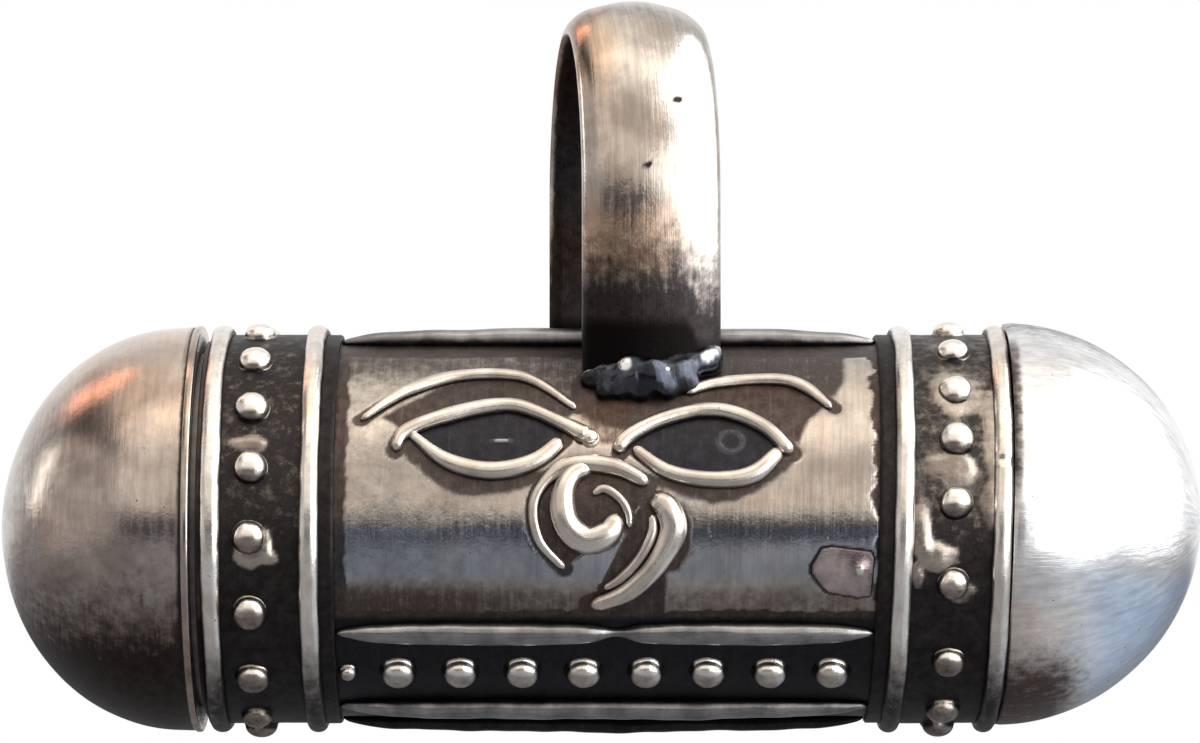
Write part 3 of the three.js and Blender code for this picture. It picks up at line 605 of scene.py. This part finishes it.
def tube_marks(x, turn):
    """How much oxide and painted shade lie on the tube's outside, and its tint, part of which is painted reflection.
    """
    arc = arc_of(turn)
    ragged = 0.09 * ripple(x * 4, arc * 5, 5)
    # painted shade and reflection: below the panel's middle it is darker and blue, turning brown lower down, and a
    # little brown above; darker also towards the left
    dark = 0.14 + 0.4 * soft(-arc, 1.1, 2.1) + 0.2 * soft(x, 1.5, -7)
    tint = 0.7 * soft(-arc, -0.45, -0.12) - 0.95 * soft(-arc, 1.1, 2.0) - 0.25 * soft(arc, 0.6, 1.2)
    dark = dark + 0.33 * soft(arc, 4.6, 6.6) * soft(-x, 3.0, 5.0)
    # margins of the panel, and all that lies below it
    left, right, bottom, top = PANEL_LEFT + 0.33, PANEL_RIGHT - 0.02, -2.44, 6.85
    frayed = 0.16 * (1 + ripple(x * 1.5, arc * 9, 6)) * soft(arc, 0.2, 1.4)
    margin = np.minimum(x - left, right + 2.5 * ragged - frayed - x)
    margin = np.minimum(np.minimum(margin, arc - bottom), top - arc)
    dark = np.maximum(dark, soft(-margin + 0.9 * ragged, -0.22, 0.12))
    for outline, tone, colour in ZONES:
        dark, tint = zone_marks(x, arc, dark, tint, arcs(outline), tone, colour)
    for outline in ([*LEFT_UPPER_LID[1:-1], *LEFT_LOWER_LID[::-1]], [*RIGHT_UPPER_LID[:-1], *RIGHT_LOWER_LID[::-1]]):
        dark, tint = zone_marks(x, arc, dark, tint, arcs(outline), 1.16, 0.9, 0.06)
    # a worn ring in the right eye, and a painted highlight in the left one
    pupil = np.abs(np.hypot(x - 3.85, arc - 3.0) - 0.36)
    eye_glint = np.hypot((x + 3.16) / 0.4, (arc - 3.02) / 0.09)
    dark = dark - 0.45 * soft(-pupil, -0.1, -0.02) - 0.8 * soft(-eye_glint, -1.1, -0.4)
    swirl = [*line_of(SWIRL_RING)[::-1], *line_of(SWIRL_TAIL)]
    dark, tint = zone_marks(x, arc, dark, tint, swirl, 0.93, -0.2, 0.06)
    # round the bare patch
    dark = np.maximum(dark, 0.95 * soft(-away_from(x, arc, PATCH), -0.11, -0.02))
    # close round every wire
    for path, width, _height in EMBLEM.values():
        dark = np.maximum(dark, 0.8 * soft(-away_from(x, arc, line_of(path)), -width / 2 - 0.1, -width / 2 + 0.02))
    # round the bail's feet
    foot = np.hypot((x - BAIL_OFFSET) / 1.3, np.abs(arc) - 5.0)
    dark = np.maximum(dark, soft(-foot, -2.1, -1.3) * (np.abs(turn) < 120))
    # the ground of the row of granules
    low = soft(-arc, 2.5, 2.8)
    dark, tint = dark + 0.2 * low, tint + (0.8 - tint) * low
    # the plain back, dark only along its wires and strips
    edge = np.minimum(np.abs(turn - TOP_WIRE_TURN), np.abs(turn - BOTTOM_WIRE_TURN)) * MM_PER_DEGREE
    edge = np.minimum(edge, np.minimum(x - PANEL_LEFT, PANEL_RIGHT - x) + 0.25)
    back = 0.16 + 0.8 * soft(-edge + ragged, -0.75, -0.35)
    behind = (turn > TOP_WIRE_TURN) | (turn < BOTTOM_WIRE_TURN)
    return np.where(behind, back, dark), np.where(behind, 0.0, tint)


# Pieces

def make_tube():
    """The tube, with its points closest together on the panel, and its edges and bore."""
    bevel = TUBE_RADIUS - TUBE_EDGE_RADIUS
    fine_x = np.linspace(PANEL_LEFT - 0.1, PANEL_RIGHT + 0.5, 234)
    outer_x = np.concatenate([np.linspace(TUBE_LEFT + bevel, fine_x[0], 12)[:-1], fine_x,
                              np.linspace(fine_x[-1], TUBE_RIGHT - bevel, 12)[1:]])
    turn = np.concatenate([np.linspace(-85, 100, 296)[:-1], np.linspace(100, 275, 86)[:-1]])
    x, around = np.meshgrid(outer_x, turn, indexing="ij")
    dark, tint = tube_marks(x, np.where(around > 180, around - 360, around))
    out = -0.045 * dark + 0.012 * ripple(x, arc_of(around), 3)
    outer = on_tube(x, around, np.minimum(out, 0))
    # rings of the edges and the bore: x, radius and place on the surface
    ends = [(TUBE_RIGHT, TUBE_EDGE_RADIUS, 13), (TUBE_RIGHT, BORE_RADIUS, 13.5), (0, BORE_RADIUS, 26),
            (TUBE_LEFT, BORE_RADIUS, 38), (TUBE_LEFT, TUBE_EDGE_RADIUS, 38.5)]
    rings = np.stack([on_tube(edge, turn, radius - TUBE_RADIUS) for edge, radius, _place in ends])
    places = np.concatenate([outer_x, [place for _edge, _radius, place in ends]])
    plain = np.zeros(rings.shape[:2])
    points, tone = lean(np.concatenate([outer, rings])), np.concatenate([dark, plain + 0.6])
    flow = together(places[:, None], arc_of(turn))
    tube = Lattice(points, tone, flow, wrap_rows=True, wrap_columns=True, tint=np.concatenate([tint, plain]))
    make_piece("tube_body", [tube], PANEL, ["tube"])


def quarter(depth, radius, steps=56):
    """A quarter of an ellipse of [x, radius], from a dome's rim to its tip."""
    turn = np.linspace(0, math.pi / 2, steps)
    return together(depth * np.sin(turn), radius * np.cos(turn))


def make_right_dome():
    """The soldered dome: dark below, on its top and along its seam."""
    rim = TUBE_RIGHT + 0.02
    outer = quarter(RIGHT_DOME_DEPTH, DOME_RADIUS)
    inner = quarter(RIGHT_DOME_DEPTH - DOME_TIP_WALL, BORE_RADIUS, 20)[::-1]
    profile = np.concatenate([inner, [[0, DOME_RADIUS - 0.03]], outer[1:]]) + [rim, 0]

    def hammered(x, turn):
        return 0.018 * ripple(x * 0.6, np.radians(turn) * 4, 11) - 0.018

    def tone(x, turn, _radius):
        # painted shade: dark on the lower part near the rim; darker on its top too, and dark along the seam
        seam = 0.66 * soft(x - rim, 0.5, 0.12) * soft(turn, 2, 18) * soft(-turn, -75, -60)
        low = 0.78 * soft(-turn, 18, 55) * soft(16.4 - x, 0.0, 2.6)
        above = 0.58 * soft(turn, 56, 84) * soft(18.9 - x, 0.0, 1.6)
        return np.maximum(np.maximum(0.04, above), np.maximum(seam, low))

    dome = spun(profile, 168, tone, hammered, wrap=False)
    below = -dome.points[..., 2]
    # blue on its lower part, a painted reflection; brown low near the rim
    dome.tint = 0.8 * soft(below, 0.3, 2.6) - 1.2 * soft(16 - dome.points[..., 0], 0, 2) * soft(below, 1.0, 2.6)
    dome.points[..., 2] += RIGHT_DOME_LIFT
    dome.points = lean(dome.points)
    make_piece("right_end_dome", [dome], PAINTED_LIT_DOME, ["right_dome"])


def make_cap():
    """The dome that pulls off, with a thin lip at its rim, and the collar that slides in the tube."""
    skirt = CAP_RIM - CAP_SKIRT
    outer = (quarter(CAP_DEPTH, DOME_RADIUS) * [-1, 1] + [skirt, 0])[::-1]
    inner = quarter(CAP_DEPTH - DOME_TIP_WALL, SOCKET_RADIUS, 20) * [-1, 1] + [skirt, 0]
    lip = np.array([[-0.4, 0], [-0.24, 0], [-0.2, 0.01], [-0.15, 0.045], [-0.08, 0.05], [-0.02, 0.04], [0, 0]])
    rim = [*(lip + [CAP_RIM, DOME_RADIUS]), [CAP_RIM, SOCKET_RADIUS]]

    def hammered(x, turn):
        return (0.02 * ripple(x * 0.6, np.radians(turn) * 4, 21) - 0.02) * (x < CAP_RIM - 0.45)

    def tone(x, turn, radius):
        height = radius * np.sin(np.radians(turn))
        # painted shade and highlight: dark at the bottom, lighter with height and burnished at the top
        low = np.interp(height, [-4.2, -3, -1, 0.5, 1.8, 3, 5.5], [0.9, 0.62, 0.31, 0.2, 0.12, 0.02, -0.26])
        groove = np.abs(x - CAP_RIM + 0.24) < 0.03
        socket = (radius < 5.7) & (x > skirt)
        tones = np.where(groove | socket, 0.9, low)
        return tones * np.where((x > CAP_RIM - 0.21) & (radius > 6.3), 0.45, 1.0)

    dome = spun(np.concatenate([outer, rim, inner]), 168, tone, hammered, wrap=False)
    up = dome.points[..., 2]
    # browner at the top and the bottom: painted reflection
    dome.tint = -0.15 - 0.4 * soft(up, 1.5, 4.5) - 0.3 * soft(-up, 1, 4)
    make_piece("cap_dome_shell", [dome], DOME, ["cap_dome"], body="cap")
    left, right = skirt + 0.02, COLLAR_RIGHT
    sleeve = [
        [left, COLLAR_OUTER],
        *[[x, COLLAR_OUTER] for x in np.linspace(left + 0.2, right - 0.12, 14)],
        [right - 0.05, COLLAR_OUTER - 0.02], [right, COLLAR_OUTER - 0.08],
        [right, COLLAR_INNER], [left, COLLAR_INNER],
    ]
    collar = spun(sleeve, 144, lambda x, turn, radius: 0.3 + 0.2 * (radius < (COLLAR_INNER + COLLAR_OUTER) / 2))
    make_piece("cap_collar_sleeve", [collar], INNER, ["cap_collar"], "cap")


def ring(centre, seed, notch=None):
    """A half-round wire round the tube, uneven as it was filed by hand; notch is [turn, depth share]."""
    half, sunk = RING_WIDTH / 2, 0.06
    arc = np.linspace(0, math.pi, 20)
    turn = np.linspace(-180, 180, 400, endpoint=False)
    angle = np.radians(turn)
    around = angle * TUBE_RADIUS
    wide = 1 + 0.07 * ripple(around, 0, seed)
    high = 1 - 0.05 * (1 + ripple(around * 1.3, 5, seed))
    sway = 0.025 * ripple(around * 0.7, 9, seed + 2)
    if notch:
        high = high - notch[1] * np.exp(-(((turn - notch[0]) / 1.1) ** 2))
    x = centre + sway - half * wide * np.cos(arc)[:, None]
    crown = np.sin(arc)[:, None] ** 0.8
    radius = RING_INNER - sunk + (RING_HEIGHT + sunk) * crown * high
    points = on_tube(x, turn, radius - TUBE_RADIUS)
    up = np.sin(angle)
    # oxide at the wire's sides, painted shade on its lower half, and a little darker and browner on its upper half
    tone = np.clip(1.1 - crown * 1.45, 0, 1) + 0.75 * soft(-up, 0.2, 0.9) + 0.26 * soft(up, 0.15, 0.6)
    flow = together(centre + half * arc[:, None], around)
    tint = -0.22 * soft(up, 0.1, 0.6)
    return Lattice(lean(points), tone, flow, wrap_rows=True, wrap_columns=True, tint=tint)


def make_rings():
    """The four wires round the tube, the right outer one with a notch."""
    notches = {"right_outer": (21, 0.35)}
    for seed, (name, centre) in enumerate(RING_CENTRES.items()):
        wire = ring(centre, 31 + seed, notches.get(name))
        make_piece(f"{name}_ring_wire", [wire], POLISHED, [f"{name}_ring"])


def make_band(side, left, channel, phase, wobble, worn, smears):
    """A strip with granules along its channel, and solder smeared between them.

    The granules start phase degrees up and stray by wobble degrees, and worn is the oxide left on the strip's
    upper half. Smears are (x, degrees up from the front line, half length, half height, brightness)."""
    right = left + STRIP_WIDTH
    profile = [
        *[[x, STRIP_OUTER] for x in np.linspace(left + 0.05, right - 0.05, 44)],
        [right, STRIP_OUTER - 0.04], [right, STRIP_INNER],
        [left, STRIP_INNER], [left, STRIP_OUTER - 0.04],
    ]
    ledge = 0.225 if side == "left" else -0.225
    middle = (left + right) / 2 - ledge

    def from_smear(smear, x, turn):
        place, at_turn, long, high, _bright = smear
        straight = np.hypot((x - place) / long, (turn - at_turn) * MM_PER_DEGREE / high)
        return straight + 0.3 * ripple(x * 3, np.radians(turn) * 18, 43)

    def tone(x, turn, _radius):
        away = np.abs(x - middle)
        # the strip's ground is nearly black on its lower half, painted shade; its upper half keeps the worn oxide
        ground = (worn + (0.98 - worn) * soft(-np.sin(np.radians(turn)), -0.2, 0.42)) * soft(away, 1.9, 1.5)
        for smear in smears:
            ground = ground - smear[-1] * soft(-from_smear(smear, x, turn), -1.1, -0.6)
        return np.clip(ground + 0.85 * soft(away, 1.6, 1.9), 0, 1)

    def lumps(x, turn):
        height = 0.012 * ripple(x * 2, np.radians(turn) * 12, 41) - 0.012
        for smear in smears:
            height = height + 0.09 * soft(-from_smear(smear, x, turn), -1.1, -0.3)
        return height

    parts = [spun(profile, 360, tone, lumps)]
    rng = np.random.default_rng(51 if side == "left" else 52)
    base = STRIP_OUTER - TUBE_RADIUS
    for i in range(BAND_GRANULES):
        step = i - BAND_GRANULES // 2
        turn = phase + step * 360 / BAND_GRANULES + wobble * math.cos(math.radians(60 * step))
        size = rng.uniform(0.92, 1.04)
        parts.append(granule(channel, turn, base, GRANULE_RADIUS * size, GRANULE_HEIGHT * size, 60 + i, 0.9))
    for part in parts:
        part.points = lean(part.points)
    make_piece(f"{side}_granulated_band", parts, GROUND, [f"{side}_granule_band"])


def make_bands():
    left_smears = [(-10.9, 27, 0.55, 0.3, 0.55), (-10.75, -6.5, 0.7, 0.4, 0.75), (-10.4, -2, 0.25, 0.5, 0.7)]
    right_smears = [(10.7, 20, 0.9, 0.6, 0.5), (9.65, 2, 0.4, 0.9, 0.95), (10.2, -6, 0.65, 0.5, 0.95),
                    (10.9, -17, 0.6, 0.4, 0.45), (10.8, 45, 0.9, 1.2, 0.35), (11.9, 30, 0.35, 1.6, 0.5),
                    (9.6, -12, 0.3, 0.5, 0.6), (11.8, 8, 0.3, 0.9, 0.4)]
    make_band("left", LEFT_STRIP, LEFT_CHANNEL, -2.8, 2.0, 0.7, left_smears)
    make_band("right", RIGHT_STRIP, RIGHT_CHANNEL, 4.8, 4.3, 0.62, right_smears)


def panel_wire(turn, width, seed, grime_and_shade, waist):
    """A lengthwise wire on the panel, tapered to both ends; waist is where it narrows, as [x, share of width]."""
    left, right, tip, taper = PANEL_LEFT + 0.02, PANEL_RIGHT - 0.02, 0.3, 1.4
    path = [[left, turn, tip], [left + taper, turn, 1], *[[x, turn, share] for x, share in waist],
            [right - taper, turn, 1], [right, turn, tip]]
    return laid_wire(path, width, PANEL_WIRE_HEIGHT, seed, 220, 16, leans=True, grime_and_shade=grime_and_shade)


def make_wires():
    """The panel's lengthwise wires and the wires of the emblem."""
    waist = [[-0.47, 1], [0.43, 0.4], [1.33, 1]]
    # the second-to-last number darkens each wire all along, most for the wire at the bottom of the tube, painted
    # shade there
    for name, node, *shape in (
        ("row_wire_above", "row_upper_wire", ROW_WIRE_TURN, 0.6, 71, -0.1, waist),
        ("row_wire_below", "row_lower_wire", LOWER_WIRE_TURN, 0.5, 72, 0.0, []),
        ("panel_wire_on_top", "top_wire", TOP_WIRE_TURN, 0.55, 73, 0.1, []),
        ("panel_wire_at_bottom", "bottom_wire", BOTTOM_WIRE_TURN, 0.55, 74, 0.85, []),
    ):
        make_piece(name, [panel_wire(*shape)], WORN_AND_SHADED, [node])
    for seed, (name, (path, width, height)) in enumerate(EMBLEM.items()):
        parts = [laid_wire(path, width, height, 80 + seed)]
        if name == "left_upper_lid":
            # a small ball at the lid's inner corner
            parts.append(granule(-0.42, 29.6, 0.0, 0.27, 0.3, 89))
        make_piece(f"{name}_wire", parts, BEIGE, [name])


def make_row():
    """The row of granules, with a smaller one at its left end."""
    seed_ball = granule(PANEL_LEFT + 0.36, ROW_TURN, 0.0, SEED_SIZE, SEED_SIZE, 91, 1.0)
    make_piece("row_ball_seed", [seed_ball], POLISHED, ["row_granule_seed"])
    first, last = PANEL_LEFT + 1.93, PANEL_RIGHT - 1.38
    for i in range(ROW_GRANULES):
        x = first + i * (last - first) / (ROW_GRANULES - 1)
        ball = granule(x, ROW_TURN, 0.0, GRANULE_RADIUS, GRANULE_HEIGHT, 92 + i, 1.0)
        make_piece(f"row_ball_{i + 1}", [ball], POLISHED, [f"row_granule_{i + 1}"])


def make_bail():
    """A domed band bent to an arch, with its feet scribed to the tube."""
    half = BAIL_WIDTH / 2
    edge = BAIL_EDGE / BAIL_CROWN
    crown = np.linspace(math.pi, 0, 46)
    under = np.linspace(half, -half, 22)[1:-1]
    across = np.concatenate([half * np.cos(crown), under])
    share = np.concatenate([edge + (1 - edge) * np.sin(crown), 0 * under])
    depth = BAIL_HALF_GAP + share * BAIL_CROWN
    spin = math.radians(BAIL_TURN)
    feet = []
    for side in (-1, 1):
        y = across * math.sin(spin) + side * depth * math.cos(spin)
        feet.append(np.sqrt(TUBE_RADIUS**2 - y**2) - 0.07)
    up = np.linspace(0, 1, 36)
    rows = [(-depth, feet[0] + t * (BAIL_SPRING - feet[0])) for t in up[:-1]]
    for turn in np.linspace(0, math.pi, 110):
        rise = (BAIL_ARCH_RISE + share * BAIL_CROWN) * math.sin(turn)
        rows.append((-depth * math.cos(turn), BAIL_SPRING + rise))
    rows += [(depth, feet[1] + t * (BAIL_SPRING - feet[1])) for t in up[-2::-1]]
    local = np.array([together(across, y, z) for y, z in rows])
    run = distance_along(local, 0)
    local[..., 1:] *= (1 + 0.0022 * ripple(run, across * 1.5, 101))[..., None]
    x = local[..., 0] * math.cos(spin) - local[..., 1] * math.sin(spin) + BAIL_OFFSET
    y = local[..., 0] * math.sin(spin) + local[..., 1] * math.cos(spin)
    points = together(x, y, local[..., 2])
    held = 0.8 * soft(across, 0.9, 1.5)
    low = np.interp(local[..., 2] + held, [6.3, 7.1, 7.9, 8.9, 10.6], [1.3, 0.95, 0.66, 0.5, 0.14])
    inside_face = 0.95 * (share < 0.01)
    tone = np.maximum(np.maximum(0.1, low), inside_face)
    flow = together(run, across)
    # two dark pits on the front
    for pit_x, pit_z in ((2.32, 13.46), (1.39, 11.46)):
        away = np.hypot(points[..., 0] - pit_x, points[..., 2] - pit_z)
        tone = np.maximum(tone, 1.1 * soft(-away, -0.17, -0.07) * (points[..., 1] <= 0))
    tint = -0.7 * soft(-across, 0.3, 1.9) * soft(local[..., 2], 12, 15) - 0.15
    tint = tint - 0.55 * soft(-across, -1.1, 0.2) * soft(local[..., 2], 7.4, 8.6) * soft(-local[..., 2], -10.8, -9.4)
    band = Lattice(points, tone, flow, wrap_columns=True, tint=tint)
    make_piece("bail_band", [band], ARCH, ["bail"])


def make_solder(name, blobs, node, seed):
    """Solder that ran round a foot of the bail: blobs of [x, depth, height, radius], melted together."""
    made = bmesh.new()
    for x, y, z, radius in blobs:
        ball = bmesh.ops.create_icosphere(made, subdivisions=4, radius=radius)
        bmesh.ops.translate(made, vec=(x, y, z), verts=ball["verts"])
    mesh = bpy.data.meshes.new(name)
    made.to_mesh(mesh)
    made.free()
    lump = placed(name, mesh)
    melt = lump.modifiers.new("melt", "REMESH")
    melt.mode, melt.voxel_size = "VOXEL", 0.06
    ease = lump.modifiers.new("ease", "SMOOTH")
    ease.factor, ease.iterations = 0.7, 22
    bpy.context.view_layer.update()
    shaped = lump.evaluated_get(bpy.context.evaluated_depsgraph_get()).to_mesh()
    points = np.array([v.co for v in shaped.vertices])
    faces = np.array([tuple(p.vertices) for p in shaped.polygons])
    bpy.data.objects.remove(lump)
    x, y, z = points.T
    turn = np.degrees(np.arctan2(z, -y))
    arc, radius = arc_of(turn), np.hypot(y, z)
    bumpy = 0.11 * ripple(x * 1.5, arc * 2.1, seed) + 0.03 * ripple(x * 6, arc * 6, seed + 1)
    radius = np.maximum(radius + bumpy * (radius > TUBE_RADIUS), TUBE_RADIUS - 0.1)
    tone = np.clip(0.85 - 0.7 * (radius - TUBE_RADIUS) - 3 * bumpy, 0.15, 1) - 0.8 * soft(x, 2.7, 3.3)
    # painted highlights: bright spots on the front
    for spot_x, spot_z, reach in ((0.66, 5.2, 0.24), (-0.5, 5.05, 0.14), (2.0, 5.1, 0.12)):
        painted_glint = ((x - spot_x) ** 2 + (z - spot_z) ** 2) / reach**2
        tone = tone - 0.85 * np.exp(-painted_glint) * (y < 0)
    made = mesh_of(name, on_tube(x, turn, radius - TUBE_RADIUS), faces, tone, 0.5 + 0 * turn, together(x, arc))
    for polygon in made.polygons:
        polygon.use_smooth = True
    piece = placed(name, made)
    made.materials.append(SOLDER)
    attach(piece, "case")
    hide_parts(node)


def make_roll():
    """A long strip of paper rolled up; its edges show as a spiral at both ends."""
    outer, core, gap, left, right = 4.88, 0.75, 0.15, -15.01, 14.83
    turns = (outer - core) / gap
    steps_per_turn, thick = 56, 0.1
    angle = np.linspace(0, turns * 2 * math.pi, int(turns * steps_per_turn))
    radius = core + gap * angle / (2 * math.pi)
    ragged = 0.05 * ripple(radius * angle, 0, 111)
    rows = []
    for x, r in ((left, radius), (right, radius), (right, radius + thick), (left, radius + thick)):
        shift = ragged if x == left else -ragged
        rows.append(together(x + shift, -r * np.cos(angle), r * np.sin(angle)))
    points = np.stack(rows)
    run = run_up(np.hypot(np.diff(radius), radius[1:] * np.diff(angle)))
    length = np.array([0, right - left, right - left, 0])[:, None]
    strip = Lattice(points, 0, together(length, run), wrap_rows=True)
    caps = [Lattice(points[[0, 1, 3, 2], end].reshape(2, 2, 3), 0.4) for end in (0, -1)]
    make_piece("paper_scroll", [strip, *caps], PAPER, ["mantra_roll"], "roll")


def make_plate():
    """A small bare patch soldered on the panel."""
    outline = np.array(PATCH[:-1])
    centre = outline.mean(axis=0)
    dense = np.concatenate([np.linspace(a, b, 8, endpoint=False) for a, b in zip(outline, np.roll(outline, -1, 0))])
    rings = [centre + share * (dense - centre) for share in (*np.linspace(0, 1, 10)[:-1], 0.97, 1.0, 1.03)]
    heights = [*np.linspace(0.09, 0.045, 10), 0.03, -0.08]
    flow = np.stack(rings)
    bead_place, bead_size = [7.85, -1.05], [0.17, 0.24]
    bead = np.exp(-(((flow - bead_place) / bead_size) ** 2).sum(axis=-1))
    points = []
    for flat, height, raised in zip(rings, heights, bead):
        out = height + 0.012 * ripple(flat[:, 0] * 3, flat[:, 1] * 3, 121) + 0.12 * raised
        points.append(on_tube(flat[:, 0], np.degrees(flat[:, 1] / TUBE_RADIUS), out))
    tone = np.array([*[0.2] * 7, 0.25, 0.35, 0.55, 0.9, 1.0])[:, None] - 0.8 * bead
    patch = Lattice(np.stack(points), tone, flow, wrap_columns=True)
    make_piece("bare_solder_patch", [patch], PLATE, [])


make_tube()
make_right_dome()
make_cap()
make_rings()
make_bands()
make_wires()
make_row()
make_bail()
make_solder("front_solder_lumps", [
    [-0.42, -3.75, 4.75, 0.34], [0.22, -3.85, 4.8, 0.55], [0.85, -3.95, 4.85, 0.68], [1.55, -3.95, 4.8, 0.7],
    [2.2, -3.75, 4.95, 0.68], [2.85, -3.4, 5.25, 0.55], [3.35, -3.0, 5.5, 0.4], [1.15, -4.1, 4.4, 0.45],
    [1.95, -4.05, 4.45, 0.45], [0.5, -4.1, 4.45, 0.4], [2.6, -3.9, 4.6, 0.42],
    [3.2, -3.3, 5.35, 0.55], [0.0, -4.2, 4.4, 0.3],
], "front_foot_solder", 131)
make_solder("rear_solder_lumps", [
    [-1.75, 3.0, 5.3, 0.45], [-1.1, 3.5, 5.0, 0.6], [-0.4, 3.9, 4.8, 0.7], [0.35, 4.05, 4.75, 0.72],
    [1.05, 4.0, 4.8, 0.68], [1.75, 3.7, 5.0, 0.55], [2.2, 3.4, 5.2, 0.4],
], "rear_foot_solder", 132)
make_roll()
make_plate()


# Floor, world, lights and camera

FLOOR_DROP, FLOOR_HALF = 45 * MM, 450 * MM
WHITE = (1, 1, 1)


def make_floor():
    """A pale floor below the pendant."""
    low, half = cad_box[0].z - FLOOR_DROP, FLOOR_HALF
    mesh = bpy.data.meshes.new("floor")
    corners = [(-half, -half, low), (half, -half, low), (half, half, low), (-half, half, low)]
    mesh.from_pydata(corners, [], [(0, 1, 2, 3)])
    floor = placed("floor", mesh)
    s = Shader("floor_pale")
    s.surface.inputs["Base Color"].default_value = (0.52, 0.53, 0.55, 1)
    s.surface.inputs["Roughness"].default_value = 0.9
    s.surface.inputs["Specular IOR Level"].default_value = 0.1
    mesh.materials.append(s.material)


def make_world():
    """White behind the pendant for what the camera and the metal see; a dimmer room on the camera's side."""
    world = bpy.data.worlds.new("studio")
    bpy.context.scene.world = world
    w = Nodes(world)
    place = w.node("ShaderNodeTexCoord")
    axes = w.node("ShaderNodeSeparateXYZ")
    w.feed(axes.inputs[0], place.outputs["Generated"])
    behind = w.between(axes.outputs["Y"], 0.2, 0.8, curve="LINEAR")
    above = w.between(axes.outputs["Z"], 0.7, 1.0, curve="LINEAR")
    room = w.mix(above, (0.09, 0.09, 0.11), (1.4, 1.3, 1.16))
    seen = w.mix(behind, room, WHITE)
    rays = w.node("ShaderNodeLightPath")
    shiny = w.math("MAXIMUM", rays.outputs["Is Glossy Ray"], rays.outputs["Is Transmission Ray"])
    lit = w.mix(shiny, (0.36, 0.36, 0.38), seen)
    background = w.node("ShaderNodeBackground")
    w.feed(background.inputs["Color"], w.mix(rays.outputs["Is Camera Ray"], lit, WHITE))
    output = w.node("ShaderNodeOutputWorld")
    w.feed(output.inputs["Surface"], background.outputs[0])


def softbox(name, azimuth, elevation, distance, width, height, radiance, colour, glossy_only=False):
    """A lamp that faces the pendant, sized in metres. Azimuth 0 is the camera's side and 90 the right. A lamp for
    glossy light only shows in the silver and doesn't light the floor."""
    light = bpy.data.lights.new(name, "AREA")
    light.shape = "RECTANGLE"
    light.size, light.size_y = width, height
    light.energy = radiance * 4 * width * height
    light.color = colour
    lamp = placed(name, light)
    a, e = math.radians(azimuth), math.radians(elevation)
    centre = Vector((-BAIL_OFFSET, 0, -ORIGIN[2])) * MM
    lamp.location = centre + distance * Vector((math.sin(a) * math.cos(e), -math.cos(a) * math.cos(e), math.sin(e)))
    lamp.rotation_euler = (centre - lamp.location).to_track_quat("-Z", "Y").to_euler()
    lamp.visible_camera = False
    lamp.visible_diffuse = not glossy_only


def make_lights():
    """A soft room of lamps, and small ones for single highlights."""
    softbox("front_top", -5, 43, 0.5, 0.75, 0.66, 0.66, (1.0, 0.89, 0.76))
    softbox("right_side", 80, 18, 0.5, 0.76, 0.95, 2.3, WHITE, True)
    softbox("right_low", 84, -40, 0.058, 0.08, 0.05, 0.18, (0.7, 0.86, 1.0), True)
    softbox("dome_card", 42, 8, 0.067, 0.05, 0.05, 1.5, (1.0, 0.99, 0.97), True)
    softbox("left_side", -72, 12, 0.5, 0.6, 0.5, 0.4, (1.0, 0.9, 0.8), True)
    softbox("left_window", -110, 14, 0.5, 0.04, 0.16, 4.5, (1.0, 0.97, 0.9), True)
    softbox("left_glow", -124, 46, 0.5, 0.1, 0.24, 1.5, (1.0, 0.45, 0.28), True)


def make_camera():
    """A long lens that looks straight at the front."""
    camera = bpy.data.cameras.new("camera")
    camera.lens = 150.9
    camera.sensor_width = 36
    camera.clip_start, camera.clip_end = 0.01, 5
    holder = placed("camera", camera)
    holder.location = (-1.07 * MM, -160 * MM, -10.55 * MM)
    holder.rotation_euler = (math.radians(90), 0, 0)
    bpy.context.scene.camera = holder


make_floor()
make_world()
make_lights()
make_camera()
bpy.context.scene.view_settings.view_transform = "Standard"

bpy.context.view_layer.update()
